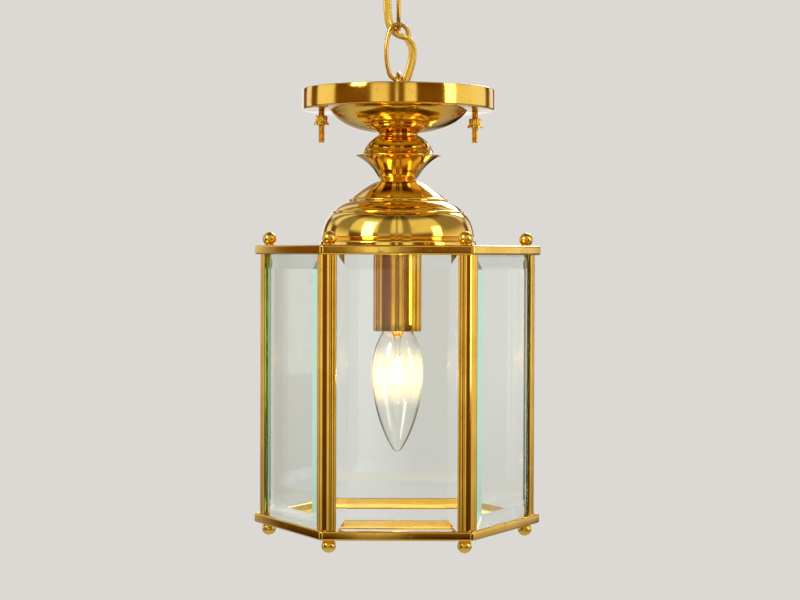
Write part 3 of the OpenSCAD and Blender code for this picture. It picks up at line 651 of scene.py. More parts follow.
ZINC_STEEL = Metal("zinc_plated_steel", "zinc_steel", Working.PRESSED,
                   "#b9bcc0", "#a3a8ae", "#8c867a", smooth=0.3, rough=0.45,
                   line_depth=0.01, patch=9.0)
SOLDER = Metal("tinned_solder", "solder", Working.PRESSED,
               "#c4c6ca", "#a9adb3", "#7c7c7e", smooth=0.25, rough=0.4, patch=2.0)
# The lamp is lit in the photograph, so its tungsten glows
TUNGSTEN = Metal("glowing_tungsten_coil", "filament", Working.PRESSED,
                 "#6e6c6a", "#55534f", "#3b3a38", smooth=0.35, rough=0.5, patch=1.0, glow=9.0)
PLATE_GLASS = ClearGlass("bevelled_plate_glass", "bevelled_glass", "#fbfefc", "#f1f8f4",
                         1.52, 60.0, 0.004)
PANE_EDGE = GroundGlass("ground_glass_edge", "bevelled_glass", "#c4e2d0", "#9fcdb6")
# The lamp's glass gives out a painted warm glow round its filament
LAMP_GLASS = ClearGlass("blown_lamp_glass", "lamp_glass", "#fefefc", "#f6f7f4",
                        1.5, 14.0, 0.006, painted_glow=0.35, painted_glow_z=LANTERN_Z - 76.0)
STEM_GLASS = ClearGlass("drawn_stem_glass", "lamp_glass", "#fefefc", "#f6f7f4",
                        1.5, 14.0, 0.006)
PORCELAIN = Moulded("glazed_porcelain", "porcelain", "#f2efe6", "#e6e2d6", 0.18, 1.2, 0.01,
                    coat=0.5)
BLACK = Moulded("black_moulded_insulation", "black_insulation", "#2a2a2c", "#1d1d1f", 0.4,
                0.4, 0.01)
FLEX = GoldFlex()


# Studio

@dataclass
class Studio:
    """Camera, lamps, pale floor and pale surroundings."""

    camera_back: float = 1160.0
    camera_side: float = 1.5
    pitch: float = 1.403
    roll: float = 0.2
    lens: float = 83.25
    floor_z: float = -1500.0
    filament_z: float = LANTERN_Z - 76.0
    backdrop: str = "#dcd9d4"
    shade_near: str = "#7c5512"
    shade_far: str = "#381e04"
    # Degrees round the lantern: where the first gap is, and the windows after it
    first_gap: float = 30.0
    soft: float = 4.0
    windows: tuple[Point2, ...] = ((30, 47), (57.2, 59.3), (69, 80), (135, 186), (202, 216),
                                   (234, 262), (280, 292), (310, 337))
    # From straight down (0) to straight up (1): how much the windows show, and the ring
    levels: tuple[Point3, ...] = ((0.0, 0.0, 0.1), (0.3, 0.2, 0.0), (0.425, 0.5, 0.0),
                                  (0.47, 1.0, 0.0), (0.6, 1.0, 0.0), (0.65, 0.5, 0.05), (0.69, 0.2, 0.9),
                                  (0.86, 0.2, 0.9), (0.93, 0.0, 0.15))

    def camera(self) -> None:
        """Set the camera at the photograph's viewing angle."""
        data = bpy.data.cameras.new("camera")
        data.lens, data.sensor_width = self.lens, 36.0
        data.clip_start, data.clip_end = 0.02, 60.0
        camera = bpy.data.objects.new("camera", data)
        camera.location = (self.camera_side * MM, -self.camera_back * MM, LANTERN_Z * MM)
        tilt = Matrix.Rotation(math.radians(90 - self.pitch), 3, "X")
        roll = Matrix.Rotation(math.radians(self.roll), 3, "Z")
        camera.rotation_euler = (tilt @ roll).to_euler()
        bpy.context.scene.collection.objects.link(camera)
        bpy.context.scene.camera = camera

    def lamp(self, name: str, place: Point3, size: Point2, power: float) -> None:
        """Hang one soft lamp that faces the middle of the lantern."""
        data = bpy.data.lights.new(name, "AREA")
        data.shape, data.size, data.size_y, data.energy = "RECTANGLE", size[0], size[1], power
        lamp = bpy.data.objects.new(name, data)
        lamp.location = place
        aim = Vector((0.0, 0.0, -0.22)) - Vector(place)
        lamp.rotation_euler = aim.to_track_quat("-Z", "Y").to_euler()
        bpy.context.scene.collection.objects.link(lamp)

    def lamps(self) -> None:
        """Hang the lamps: a broad one at each side of the camera and one behind."""
        self.lamp("key", (-1.1, -1.0, 0.55), (0.5, 0.8), 9.0)
        self.lamp("fill", (1.4, -0.7, 0.1), (0.4, 1.0), 5.0)
        self.lamp("back", (0.5, 1.5, 0.7), (0.8, 0.5), 8.0)
        data = bpy.data.lights.new("lit_filament", "POINT")
        data.energy, data.color = 0.8, linear("#ffdca0")[:3]
        data.shadow_soft_size = 0.003
        glow = bpy.data.objects.new("lit_filament", data)
        glow.location = (0.0, 0.0, self.filament_z * MM)
        bpy.context.scene.collection.objects.link(glow)

    def steps(self, tree: bpy.types.NodeTree, along: bpy.types.NodeSocket,
              stops: Sequence[tuple[float, float, float]]) -> bpy.types.Node:
        """A ramp of greys.

        Args:
            tree: The world's node tree.
            along: What the ramp runs over, from 0 to 1.
            stops: Place, grey and alpha of each stop.

        Returns:
            The ramp.
        """
        ramp = add(tree, "ValToRGB", {0: along})
        row = ramp.color_ramp.elements
        while len(row) < len(stops):
            row.new(1.0)
        for stop, (place, grey, alpha) in zip(row, stops):
            stop.position = place
            stop.color = (grey, grey, grey, alpha)
        return ramp

    def mirrored(self, tree: bpy.types.NodeTree) -> bpy.types.NodeSocket:
        """What polished metal mirrors: the white background in tall windows all
        round and in panels overhead, with the warm shade of a room between them."""
        way = add(tree, "TexCoord").outputs["Generated"]
        turn = add(tree, "VectorRotate", {"Vector": way, "Angle": math.radians(-self.first_gap)},
                   rotation_type="Z_AXIS")
        round_it = add(tree, "TexGradient", {0: turn.outputs[0]}, gradient_type="RADIAL")
        stops = []
        for start, end in self.windows:
            soft = min(self.soft, (end - start) / 4)
            stops += [((start - soft) / 360, 0.0, 1.0), (start / 360, 1.0, 1.0),
                      (end / 360, 1.0, 1.0), ((end + soft) / 360, 0.0, 1.0)]
        windows = self.steps(tree, round_it.outputs["Fac"], stops).outputs[0]
        up = add(tree, "SeparateXYZ", {0: way}).outputs[2]
        height = add(tree, "MapRange", {0: up, 1: -1.0, 2: 1.0, 3: 0.0, 4: 1.0}).outputs[0]
        level = self.steps(tree, height, self.levels)
        tall = add(tree, "Math", {0: windows, 1: level.outputs[0]}, operation="MULTIPLY")
        gaps = add(tree, "Math", {0: windows, 1: -0.7, 2: 1.0}, operation="MULTIPLY_ADD")
        ring = add(tree, "Math", {0: gaps.outputs[0], 1: level.outputs[1]},
                   operation="MULTIPLY")
        share = add(tree, "Math", {0: tall.outputs[0], 1: ring.outputs[0]},
                    operation="MAXIMUM")
        above = add(tree, "MapRange", {0: up, 1: 0.05, 2: 0.5, 3: 0.0, 4: 1.0})
        below = add(tree, "MapRange", {0: up, 1: -0.02, 2: -0.2, 3: 0.0, 4: 1.0})
        depth = add(tree, "Math", {0: above.outputs[0], 1: below.outputs[0]},
                    operation="MAXIMUM")
        shade = add(tree, "Mix", {0: depth.outputs[0], 6: linear(self.shade_near),
                                  7: linear(self.shade_far)}, data_type="RGBA")
        return add(tree, "Mix", {0: share.outputs[0], 6: shade.outputs[2],
                                 7: linear("#ffffff")}, data_type="RGBA").outputs[2]

    def through_glass(self, tree: bpy.types.NodeTree,
                      path: bpy.types.Node) -> bpy.types.NodeSocket:
        """1 where the eye looks straight through glass, with no mirror on the way."""
        straight = add(tree, "Math", {0: path.outputs["Glossy Depth"], 1: 0.5},
                       operation="LESS_THAN")
        return add(tree, "Math", {0: path.outputs["Is Transmission Ray"],
                                  1: straight.outputs[0]}, operation="MULTIPLY").outputs[0]

    def surroundings(self) -> None:
        """Light from all round, and a pale background for the eye and for glass."""
        world = bpy.data.worlds.new("studio")
        bpy.context.scene.world = world
        world.use_nodes = True
        tree = world.node_tree
        tree.nodes.clear()
        path = add(tree, "LightPath")
        seen = add(tree, "Math", {0: path.outputs["Is Camera Ray"],
                                  1: self.through_glass(tree, path)}, operation="MAXIMUM")
        pale = add(tree, "Background", {0: linear(self.backdrop), 1: 1.0})
        room = add(tree, "Background", {0: linear("#ffffff"), 1: 0.6})
        gloss = add(tree, "Background", {0: self.mirrored(tree), 1: 1.0})
        light = add(tree, "MixShader", {0: path.outputs["Is Glossy Ray"], 1: room.outputs[0],
                                        2: gloss.outputs[0]})
        all_rays = add(tree, "MixShader", {0: seen.outputs[0], 1: light.outputs[0],
                                           2: pale.outputs[0]})
        add(tree, "OutputWorld", {"Surface": all_rays.outputs[0]})

    def floor(self) -> None:
        """Lay a pale floor that fades into the background, far off."""
        material, tree = blank("pale_floor")
        place = add(tree, "TexCoord").outputs["Object"]
        reach = add(tree, "VectorMath", {0: place}, operation="LENGTH").outputs["Value"]
        far = add(tree, "MapRange", {0: reach, 1: 1.4, 2: 4.0, 3: 0.0, 4: 1.0},
                  interpolation_type="SMOOTHSTEP").outputs[0]
        matt = add(tree, "BsdfDiffuse", {"Color": linear(self.backdrop)})
        path = add(tree, "LightPath")
        mirror = add(tree, "Math", {0: path.outputs["Is Glossy Ray"],
                                    1: self.through_glass(tree, path)},
                     operation="SUBTRACT", use_clamp=True)
        glow = add(tree, "Emission", {"Color": linear(self.backdrop), "Strength": 1.0})
        clear = add(tree, "BsdfTransparent", {"Color": linear("#ffffff")})
        beyond = add(tree, "MixShader", {0: mirror.outputs[0], 1: glow.outputs[0],
                                         2: clear.outputs[0]})
        eye = add(tree, "Math", {0: path.outputs["Is Diffuse Ray"], 1: -1.0, 2: 1.0},
                  operation="MULTIPLY_ADD")
        share = add(tree, "Math", {0: far, 1: eye.outputs[0]}, operation="MULTIPLY")
        mix = add(tree, "MixShader", {0: share.outputs[0], 1: matt.outputs[0],
                                      2: beyond.outputs[0]})
        add(tree, "OutputMaterial", {"Surface": mix.outputs[0]})
        size = 30000.0
        floor = piece("floor", ([(-size, -size, 0), (size, -size, 0), (size, size, 0),
                                 (-size, size, 0)], [[0, 1, 2, 3]]), material)
        floor.location = (0.0, 0.0, self.floor_z * MM)


# Flex

@dataclass
class Flex:
    """Flat two-core flex from the ceiling, woven through the chain."""

    width: float = 5.3
    thickness: float = 2.7
    waist: float = 0.74
    upper_cut: int = 7
    lower_cut: int = 19
    fine: int = 6
    # X, Y, Z and twist in degrees, the same route as the solids follow
    route: tuple[tuple[float, float, float, float], ...] = (
        (-8, 6, 0, 0), (-8, 6, -6, 0), (-8, 6, -12, 0), (-7.8, 5.8, -18, 0),
        (-7.5, 5.5, -24, 0), (-7.3, 5.2, -30, 0), (-7.2, 4.9, -36, 0),
        (-7.1, 4.8, -41.5, 0), (-6.9, 4.7, -46, 0), (-6.5, 4.7, -50, 5),
        (-5.8, 4.6, -53.5, 15), (-4.6, 4.3, -56.5, 35), (-3, 3.8, -58.9, 58),
        (-1.1, 2.8, -60.8, 74), (0.9, 1.1, -62, 78), (2.8, -1, -62.8, 74),
        (4.6, -2.8, -63.8, 60), (6.4, -3.9, -65.5, 42), (7.8, -4.1, -67.8, 25),
        (8.7, -4, -70.5, 10), (9, -3.8, -73.6, 0), (8.6, -3.6, -76.9, 0),
        (7.8, -3.4, -80.3, 0), (6.8, -3.3, -83.7, 0), (5.7, -3.2, -87.1, 0),
        (4.5, -3, -90.4, 0), (3.4, -2.6, -93.6, 0), (2.3, -2, -96.7, 0),
        (1.4, -1.3, -99.7, 0), (0.6, -0.6, -102.6, 0), (0.2, -0.2, -105, 0),
        (0, 0, -108, 0))

    def section(self) -> list[Point2]:
        """Two round cores side by side with a dip between them."""
        r, side = self.thickness / 2, (self.width - self.thickness) / 2
        right = arc((side, 0), r, -118, 118, 12)
        dip = self.waist * r
        left = [(-x, -y) for x, y in right]
        return right + [(0.0, dip)] + left + [(0.0, -dip)]

    def smooth_route(self) -> list[tuple[float, ...]]:
        """The route with extra points on a smooth curve through its own."""
        rows = [self.route[0], *self.route, self.route[-1]]
        line: list[tuple[float, ...]] = []
        for a, b, c, d in zip(rows, rows[1:], rows[2:], rows[3:]):
            for i in range(self.fine):
                t = i / self.fine
                line.append(tuple(
                    0.5 * (2 * q + (r - p) * t + (2 * p - 5 * q + 4 * r - s) * t * t
                           + (3 * q - p - 3 * r + s) * t ** 3)
                    for p, q, r, s in zip(a, b, c, d)))
        return line + [self.route[-1]]

    def rings(self) -> list[list[Point3]]:
        """Rings of the section square to the route and turned by its twist."""
        line = self.smooth_route()
        points = [Vector(row[:3]) for row in line]
        rings = []
        for i, row in enumerate(line):
            if i in (0, len(line) - 1):
                way = Vector((0.0, 0.0, -1.0))
            else:
                way = (points[i + 1] - points[i - 1]).normalized()
            side = Vector((0.0, 1.0, 0.0)).cross(way).normalized()
            twist = math.radians(row[3])
            wide = side * math.cos(twist) + way.cross(side) * math.sin(twist)
            thick = way.cross(wide)
            rings.append([tuple(points[i] + wide * x + thick * y) for x, y in self.section()])
        return rings

    def stretch(self, name: str, first: int, last: int, hinge: tuple[str, str],
                bend: Point2) -> None:
        """Make one stretch of the flex, which crosses one joint of the chain.

        Args:
            name: The frame's node that it stands for.
            first: Index of the route point where it begins.
            last: Index of the route point where it ends.
            hinge: The bodies above and below the joint.
            bend: Heights between which it turns from one to the other. Not used.
        """
        rings = self.rings()[first * self.fine:last * self.fine + 1]
        obj = piece(name + "_cable", loft(rings, caps=True), FLEX.material(), crease=60)
        self.lay(obj, len(rings), len(self.section()), first)
        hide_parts(name)
        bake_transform(obj)
        LOG.info("%s bends from %s to %s", obj.name, *hinge)

    def lay(self, obj: bpy.types.Object, rings: int, around: int, first: int) -> None:
        """Write the coordinates that the strands follow.

        Args:
            obj: The stretch.
            rings: How many rings it has. Not used.
            around: How many points each ring has.
            first: Index of the route point where it begins.
        """
        layer = obj.data.uv_layers.new(name="lay")
        step = 3.7 * MM / self.fine
        for face in obj.data.polygons:
            corners = [(v // around, v % around) for v in face.vertices]
            wraps = {0, around - 1} <= {s for _, s in corners} and len(corners) == 4
            for loop, (ring, s) in zip(face.loop_indices, corners):
                turn = (s + around if wraps and s == 0 else s) / around
                layer.data[loop].uv = (turn, (first * self.fine + ring) * step)

    def build(self) -> None:
        """Make the three stretches and the hidden one in the pipe."""
        last = len(self.route) - 1
        self.stretch("flex_top", 0, self.upper_cut, ("ceiling", "upper_chain_link"),
                     (-13.5, -40.5))
        self.stretch("flex_middle", self.upper_cut, self.lower_cut,
                     ("upper_chain_link", "lower_chain_link"), (-43.5, -69.8))
        self.stretch("flex_bottom", self.lower_cut, last, ("lower_chain_link", "lantern"),
                     (-72.0, -104.5))
        ends = (-108.0, -208.0)
        rings = [[(x, y, z) for x, y in self.section()]
                 for z in (ends[0] + (ends[1] - ends[0]) * i / 40 for i in range(41))]
        inner = piece("inner_cable", loft(rings, caps=True), FLEX.material(), crease=60)
        self.lay(inner, len(rings), len(self.section()), last)
        seat(inner, "lantern", FLEX.slot, "inner_flex")


# Chain

@dataclass
class Chain:
    """Ceiling hook, two links and the loop on the lantern's pipe."""

    hook_z: float = -27.0
    hook_r: float = 7.5
    hook_wire: float = 3.5
    hook_tip: float = 145.0
    shank_r: float = 2.5
    plate_low: float = -8.0
    link_h: float = 37.2
    link_w: float = 18.0
    wire: float = 2.75
    end_r: float = 6.0
    upper_z: float = -40.8
    lower_z: float = -72.2
    loop_r: float = 7.4
    loop_wire: float = 3.4
    collar_r: float = 9.3
    collar_low: float = -118.05
    collar_h: float = 13.5
    leg_h: float = 11.1

    def oval(self) -> list[Point2]:
        """The middle line of a link, from the top round to the left."""
        half_w = (self.link_w - self.wire) / 2
        centre = (self.link_h - self.wire) / 2 - self.end_r
        side_r = (half_w ** 2 + centre ** 2 - self.end_r ** 2) / (2 * (half_w - self.end_r))
        meet = math.degrees(math.asin(centre / (side_r - self.end_r)))
        top = arc((0, centre), self.end_r, meet, 180 - meet, 26)
        left = arc((side_r - half_w, 0), side_r, 180 - meet, 180 + meet, 30)
        half = top + left[1:-1]
        return half + [(-x, -z) for x, z in half]

    def link(self, name: str, z: float, along_x: bool, body: str) -> None:
        """Make one link of bent wire, its ends butted in the middle of one side.

        Args:
            name: The frame's node that it stands for.
            z: Height of its middle.
            along_x: Whether it lies in the XZ plane or the YZ plane.
            body: The body that it moves with.
        """
        line = self.oval()
        seam = max(range(len(line)), key=lambda i: line[i][0] - abs(line[i][1]) * 0.01)
        path, radii = [], []
        for i, (across, up) in enumerate(line):
            away = min(abs(i - seam), len(line) - abs(i - seam))
            steps = (-0.5, -0.16, 0.0, 0.16, 0.5) if away == 0 else (0.0,)
            for shift in steps:
                path.append((across, 0, z + up + shift) if along_x
                            else (0, across, z + up + shift))
                radii.append(self.wire / 2 - (0.13 if away == 0 and shift == 0 else 0.0))
        obj = piece(name + "_wire", tube(path, radii, 28, closed=True), WIRE_BRASS.material(),
                    crease=50)
        seat(obj, body, WIRE_BRASS.slot, name)

    def hook(self) -> None:
        """Make the hook: a bent rod that rises into its shank."""
        centre_z = self.hook_z + self.hook_r
        bend = arc((0, centre_z), self.hook_r, self.hook_tip, 405, 60)
        knee = curve([bend[-1], (3.4, centre_z + 7.2), (0.6, centre_z + 7.4),
                      (0.0, centre_z + 10.2)], 12)
        path = bend + knee[1:] + [(0.0, z) for z in (-7.6, -6.0, -3.0, 0.0)]
        radii = [self.hook_wire / 2] * len(bend)
        radii += [self.hook_wire / 2 + (self.shank_r - self.hook_wire / 2) * i / 12
                  for i in range(1, 13)] + [self.shank_r] * 4
        nose = [(0.35, 0.55), (0.12, 0.86), (0.0, 1.0)]
        tip, after = Vector(path[0]), Vector(path[1])
        back = (tip - after).normalized()
        ends = [tuple(tip + back * (0.6 - reach)) for reach, _ in nose]
        path = [ends[2], ends[1], ends[0]] + path[1:]
        radii = [0.45 * radii[0], 0.8 * radii[0], 0.97 * radii[0]] + radii[1:]
        obj = piece("ceiling_hook_rod", tube([(x, 0, z) for x, z in path], radii, 28),
                    WIRE_BRASS.material(), crease=50)
        seat(obj, "ceiling", WIRE_BRASS.slot, "ceiling_hook")

    def loop(self) -> None:
        """Make the loop: an arch of wire on a turned, threaded collar."""
        top = self.collar_low + self.collar_h
        arch = [(self.loop_r, top - 0.8), (self.loop_r, top + 3)]
        arch += arc((0, top + self.leg_h), self.loop_r, 0, 180, 36)
        arch += [(-self.loop_r, top + 3), (-self.loop_r, top - 0.8)]
        wire = tube([(0, y, z) for y, z in arch], [self.loop_wire / 2] * len(arch), 28)
        h, r = self.collar_h, self.collar_r
        profile = [(3.75, 0), (r - 0.6, 0), (r, 0.6), (r, 3.0), (r - 0.5, 3.4), (r - 0.5, 4.0),
                   (r, 4.4), (r, h - 0.8), (r - 0.8, h), (4.4, h), (3.75, h - 0.6)]
        collar = revolve(profile, 96, (0, 0, self.collar_low))
        fillets = []
        for s in (-1, 1):
            braze = [(0, 0), (self.loop_wire / 2 + 0.4, 0), (self.loop_wire / 2 + 0.15, 0.2),
                     (self.loop_wire / 2, 0.8), (0, 0.8)]
            fillets.append(revolve(braze, 28, (0, s * self.loop_r, top - 0.05)))
        obj = piece("chain_loop_arch", merged([wire, collar] + fillets),
                    TURNED_BRASS.material(), crease=40)
        seat(obj, "lantern", "brass", "chain_loop")

    def build(self) -> None:
        """Make the pieces of the chain from the ceiling down."""
        self.hook()
        self.link("upper_link", self.upper_z, False, "upper_chain_link")
        self.link("lower_link", self.lower_z, True, "lower_chain_link")
        self.loop()
        dress("ceiling_plate", PRESSED_BRASS.material())
        dress("cable_bush", BLACK.material())


# Canopy

@dataclass
class Canopy:
    """Spun pan with its bar, its two studs and their nuts."""

    rim_r: float = 60.0
    bowl_r: float = 43.0
    floor: float = CANOPY_FLOOR
    ledge: float = LEDGE
    top: float = CANOPY_TOP
    wall: float = 1.0
    edge_r: float = 1.2
    neck_r: float = 12.5
    stud_pitch: float = 96.0
    stud_r: float = 2.0
    stud_len: float = 21.0
    head_r: float = 3.5
    head_h: float = 2.5
    bar_t: float = 2.0
    left_drop: float = 3.3
    right_drop: float = 4.9
    nut_r: float = 3.75
    nut_h: float = 4.2
    flange_r: float = 4.7
    flange_h: float = 1.7
    grooves: int = 18

    def pan(self) -> None:
        """Make the pan of one smooth sheet with a rolled rim."""
        under = [(PIPE_HOLE_R, self.floor)]
        under += curve([(self.neck_r, self.floor), (self.bowl_r - 8, self.floor + 2.4),
                        (self.bowl_r - 0.4, self.ledge - 0.6)], 40)
        under += arc((self.bowl_r + 0.8, self.ledge - 1.2), 1.2, 150, 90, 6)
        under += arc((self.rim_r - self.edge_r, self.ledge + self.edge_r), self.edge_r,
                     -90, 0, 8)
        inner = [(max(x - self.wall, PIPE_HOLE_R), min(z + self.wall, self.top - 0.5))
                 for x, z in under]
        rim = arc((self.rim_r - self.wall / 2, self.top - self.wall / 2), self.wall / 2,
                  0, 180, 8)
        profile = under + [(self.rim_r, self.top - 4)] + rim + inner[::-1]
        obj = piece("canopy_pan", revolve(profile, 192, (0, 0, LANTERN_Z)),
                    SPUN_BRASS.material(), crease=38)
        hole = [(0, -2), (self.stud_r + 0.5, -2), (self.stud_r + 0.5, 3), (0, 3)]
        bored(obj, [revolve(hole, 32, (s * self.stud_pitch / 2, 0, LANTERN_Z + self.ledge))
                    for s in (-1, 1)])
        seat(obj, "lantern", SPUN_BRASS.slot, "canopy")

    def studs(self) -> None:
        """Make the two long screws, with a real thread and a slotted head."""
        solids, slots = [], []
        top = self.ledge + self.wall + self.bar_t
        for s in (-1, 1):
            at = (s * self.stud_pitch / 2, 0, LANTERN_Z + top)
            solids.append(thread(self.stud_r, 0.34, 0.7, -self.stud_len - self.bar_t, 0.2,
                                 20, 6, at=at))
            r, h = self.head_r, self.head_h
            head = [(0, 0), (r, 0), (r, h - 0.9), (r - 0.35, h - 0.35), (r - 0.9, h), (0, h)]
            solids.append(revolve(head, 48, at))
            slot = [(at[0] + x, y, at[2] + z) for x, y, z in
                    ((-r - 1, -0.5, h - 1.2), (r + 1, -0.5, h - 1.2), (r + 1, 0.5, h - 1.2),
                     (-r - 1, 0.5, h - 1.2))]
            slots.append(loft([slot, [(x, y, z + 3) for x, y, z in slot]], caps=True))
        obj = bored(piece("stud_pair", merged(solids), TURNED_BRASS.material(), 25), slots)
        seat(obj, "lantern", TURNED_BRASS.slot, "stud_screws")

    def nut(self, name: str, side: int, drop: float) -> None:
        """Make one knurled nut with a flange below it.

        Args:
            name: The frame's node that it stands for.
            side: -1 for the left stud and 1 for the right one.
            drop: How far its upper face is below the ledge.
        """
        steps = self.grooves * 6
        bore, h, low = self.stud_r + 0.05, self.nut_h, self.nut_h + self.flange_h

        def ring(r: float, z: float, groove: float = 0.0) -> list[Point3]:
            """One ring, with the knurl's grooves cut into it."""
            points = []
            for s in range(steps):
                a = 2 * math.pi * s / steps
                reach = r - groove * max(0.0, math.cos(self.grooves * a)) ** 2
                points.append((side * self.stud_pitch / 2 + reach * math.cos(a),
                               reach * math.sin(a), LANTERN_Z + self.ledge - drop + z))
            return points

        rings = [ring(bore, 0), ring(self.nut_r - 0.35, 0, 0.1), ring(self.nut_r, -0.3, 0.4),
                 ring(self.nut_r, -h + 0.35, 0.4), ring(self.nut_r - 0.3, -h + 0.05),
                 ring(self.flange_r - 0.3, -h), ring(self.flange_r, -h - 0.3),
                 ring(self.flange_r, -low + 0.3), ring(self.flange_r - 0.3, -low),
                 ring(bore + 0.3, -low), ring(bore, -low + 0.3)]
        obj = piece(name + "_knurled", loft(rings, ring_loop=True), TURNED_BRASS.material(), 35)
        seat(obj, "lantern", TURNED_BRASS.slot, name)

    def build(self) -> None:
        """Make the canopy and what is fixed to it."""
        self.pan()
        self.studs()
        self.nut("left_stud_nut", -1, self.left_drop)
        self.nut("right_stud_nut", 1, self.right_drop)
        dress("mounting_bar", ZINC_STEEL.material())
        dress("lock_nut", ZINC_STEEL.material())
        dress("stem_pipe", TURNED_BRASS.material())


# Stem

@dataclass
class Stem:
    """Spinning-top collar and the stepped dome under it."""

    disc_z: float = DISC_Z
    collar_r: float = 26.6
    floor: float = CANOPY_FLOOR
    neck_r: float = 12.5
    dome_neck_r: float = 11.0
    dome_top: float = DOME_TOP
    dome_r: float = 49.0
    wall: float = 0.8

    def shell(self, name: str, node: str, outside: list[Point2], lift: float,
              low: float, high: float, wall: float) -> None:
        """Make one spun shell of even thickness.

        Args:
            name: The piece's name.
            node: The frame's node that it stands for.
            outside: Its outer outline, from the axis outwards.
            lift: How far its inner face is above its outer one.
            low: Lowest height of the inner face.
            high: Highest height of the inner face.
            wall: Thickness of the sheet.
        """
        inside = [(max(x - wall, PIPE_HOLE_R), min(max(z + lift, low), high))
                  for x, z in outside]
        obj = piece(name, revolve(outside + inside[::-1], 192, (0, 0, LANTERN_Z)),
                    SPUN_BRASS.material(), crease=38)
        seat(obj, "lantern", SPUN_BRASS.slot, node)

    def collar(self) -> None:
        """Make the two halves of the collar, which meet at its sharp disc."""
        r, z = self.collar_r, self.disc_z
        upper = [(PIPE_HOLE_R, self.floor), (self.neck_r - 0.4, self.floor),
                 (self.neck_r, self.floor - 0.5)]
        upper += curve([(self.neck_r, self.floor - 1.2), (r - 7.2, z + 9.4),
                        (r - 4.9, z + 3.2)], 36)
        upper += curve([(r - 4.8, z + 2.9), (r - 4, z + 0.9), (r - 0.1, z + 0.3)], 16)
        upper += [(r, z + 0.12), (r, z)]
        self.shell("collar_upper_half", "collar_cap", upper, -self.wall, z, self.floor,
                   self.wall)
        lower = [(PIPE_HOLE_R, self.dome_top), (self.dome_neck_r - 0.3, self.dome_top)]
        lower += curve([(self.dome_neck_r, self.dome_top + 0.6),
                        (self.dome_neck_r + 1.6, z - 13.4), (r - 11.9, z - 9.9)], 16)
        lower += curve([(r - 11.6, z - 9.4), (r - 6.6, z - 3), (r - 0.2, z - 0.4)], 36)
        lower += [(r, z - 0.12), (r, z)]
        self.shell("collar_lower_half", "collar_cone", lower, self.wall, self.dome_top, z,
                   self.wall)

    def dome(self) -> None:
        """Make the dome, with its two small steps and its rolled foot."""
        top, r = self.dome_top, self.dome_r
        line = [(PIPE_HOLE_R, top), (self.dome_neck_r, top)]
        line += curve([(self.dome_neck_r + 0.2, top), (17.5, top - 0.8), (30, top - 11.4)], 44)
        line += arc((30.2, top - 12.4), 0.9, 70, -30, 8)
        line += curve([(31.1, top - 13.1), (37, top - 14.9), (40.3, top - 19.1)], 28)
        line += arc((40.5, top - 20.1), 0.9, 70, -30, 8)
        line += curve([(41.5, top - 20.8), (46.2, top - 24), (r - 1.2, TRAY_H + 5.6)], 40)
        line += [(r - 2.5, TRAY_H + 4.9), (r - 2.8, TRAY_H + 3.6)]
        line += arc((r - 1.6, TRAY_H + 1.6), 1.6, 100, 0, 10)
        line += [(r, TRAY_H)]
        self.shell("dome_spinning", "dome_cap", line, -self.wall, TRAY_H, top, 1.5 * self.wall)

    def build(self) -> None:
        """Make the collar and the dome."""
        self.collar()
        self.dome()


# Cage

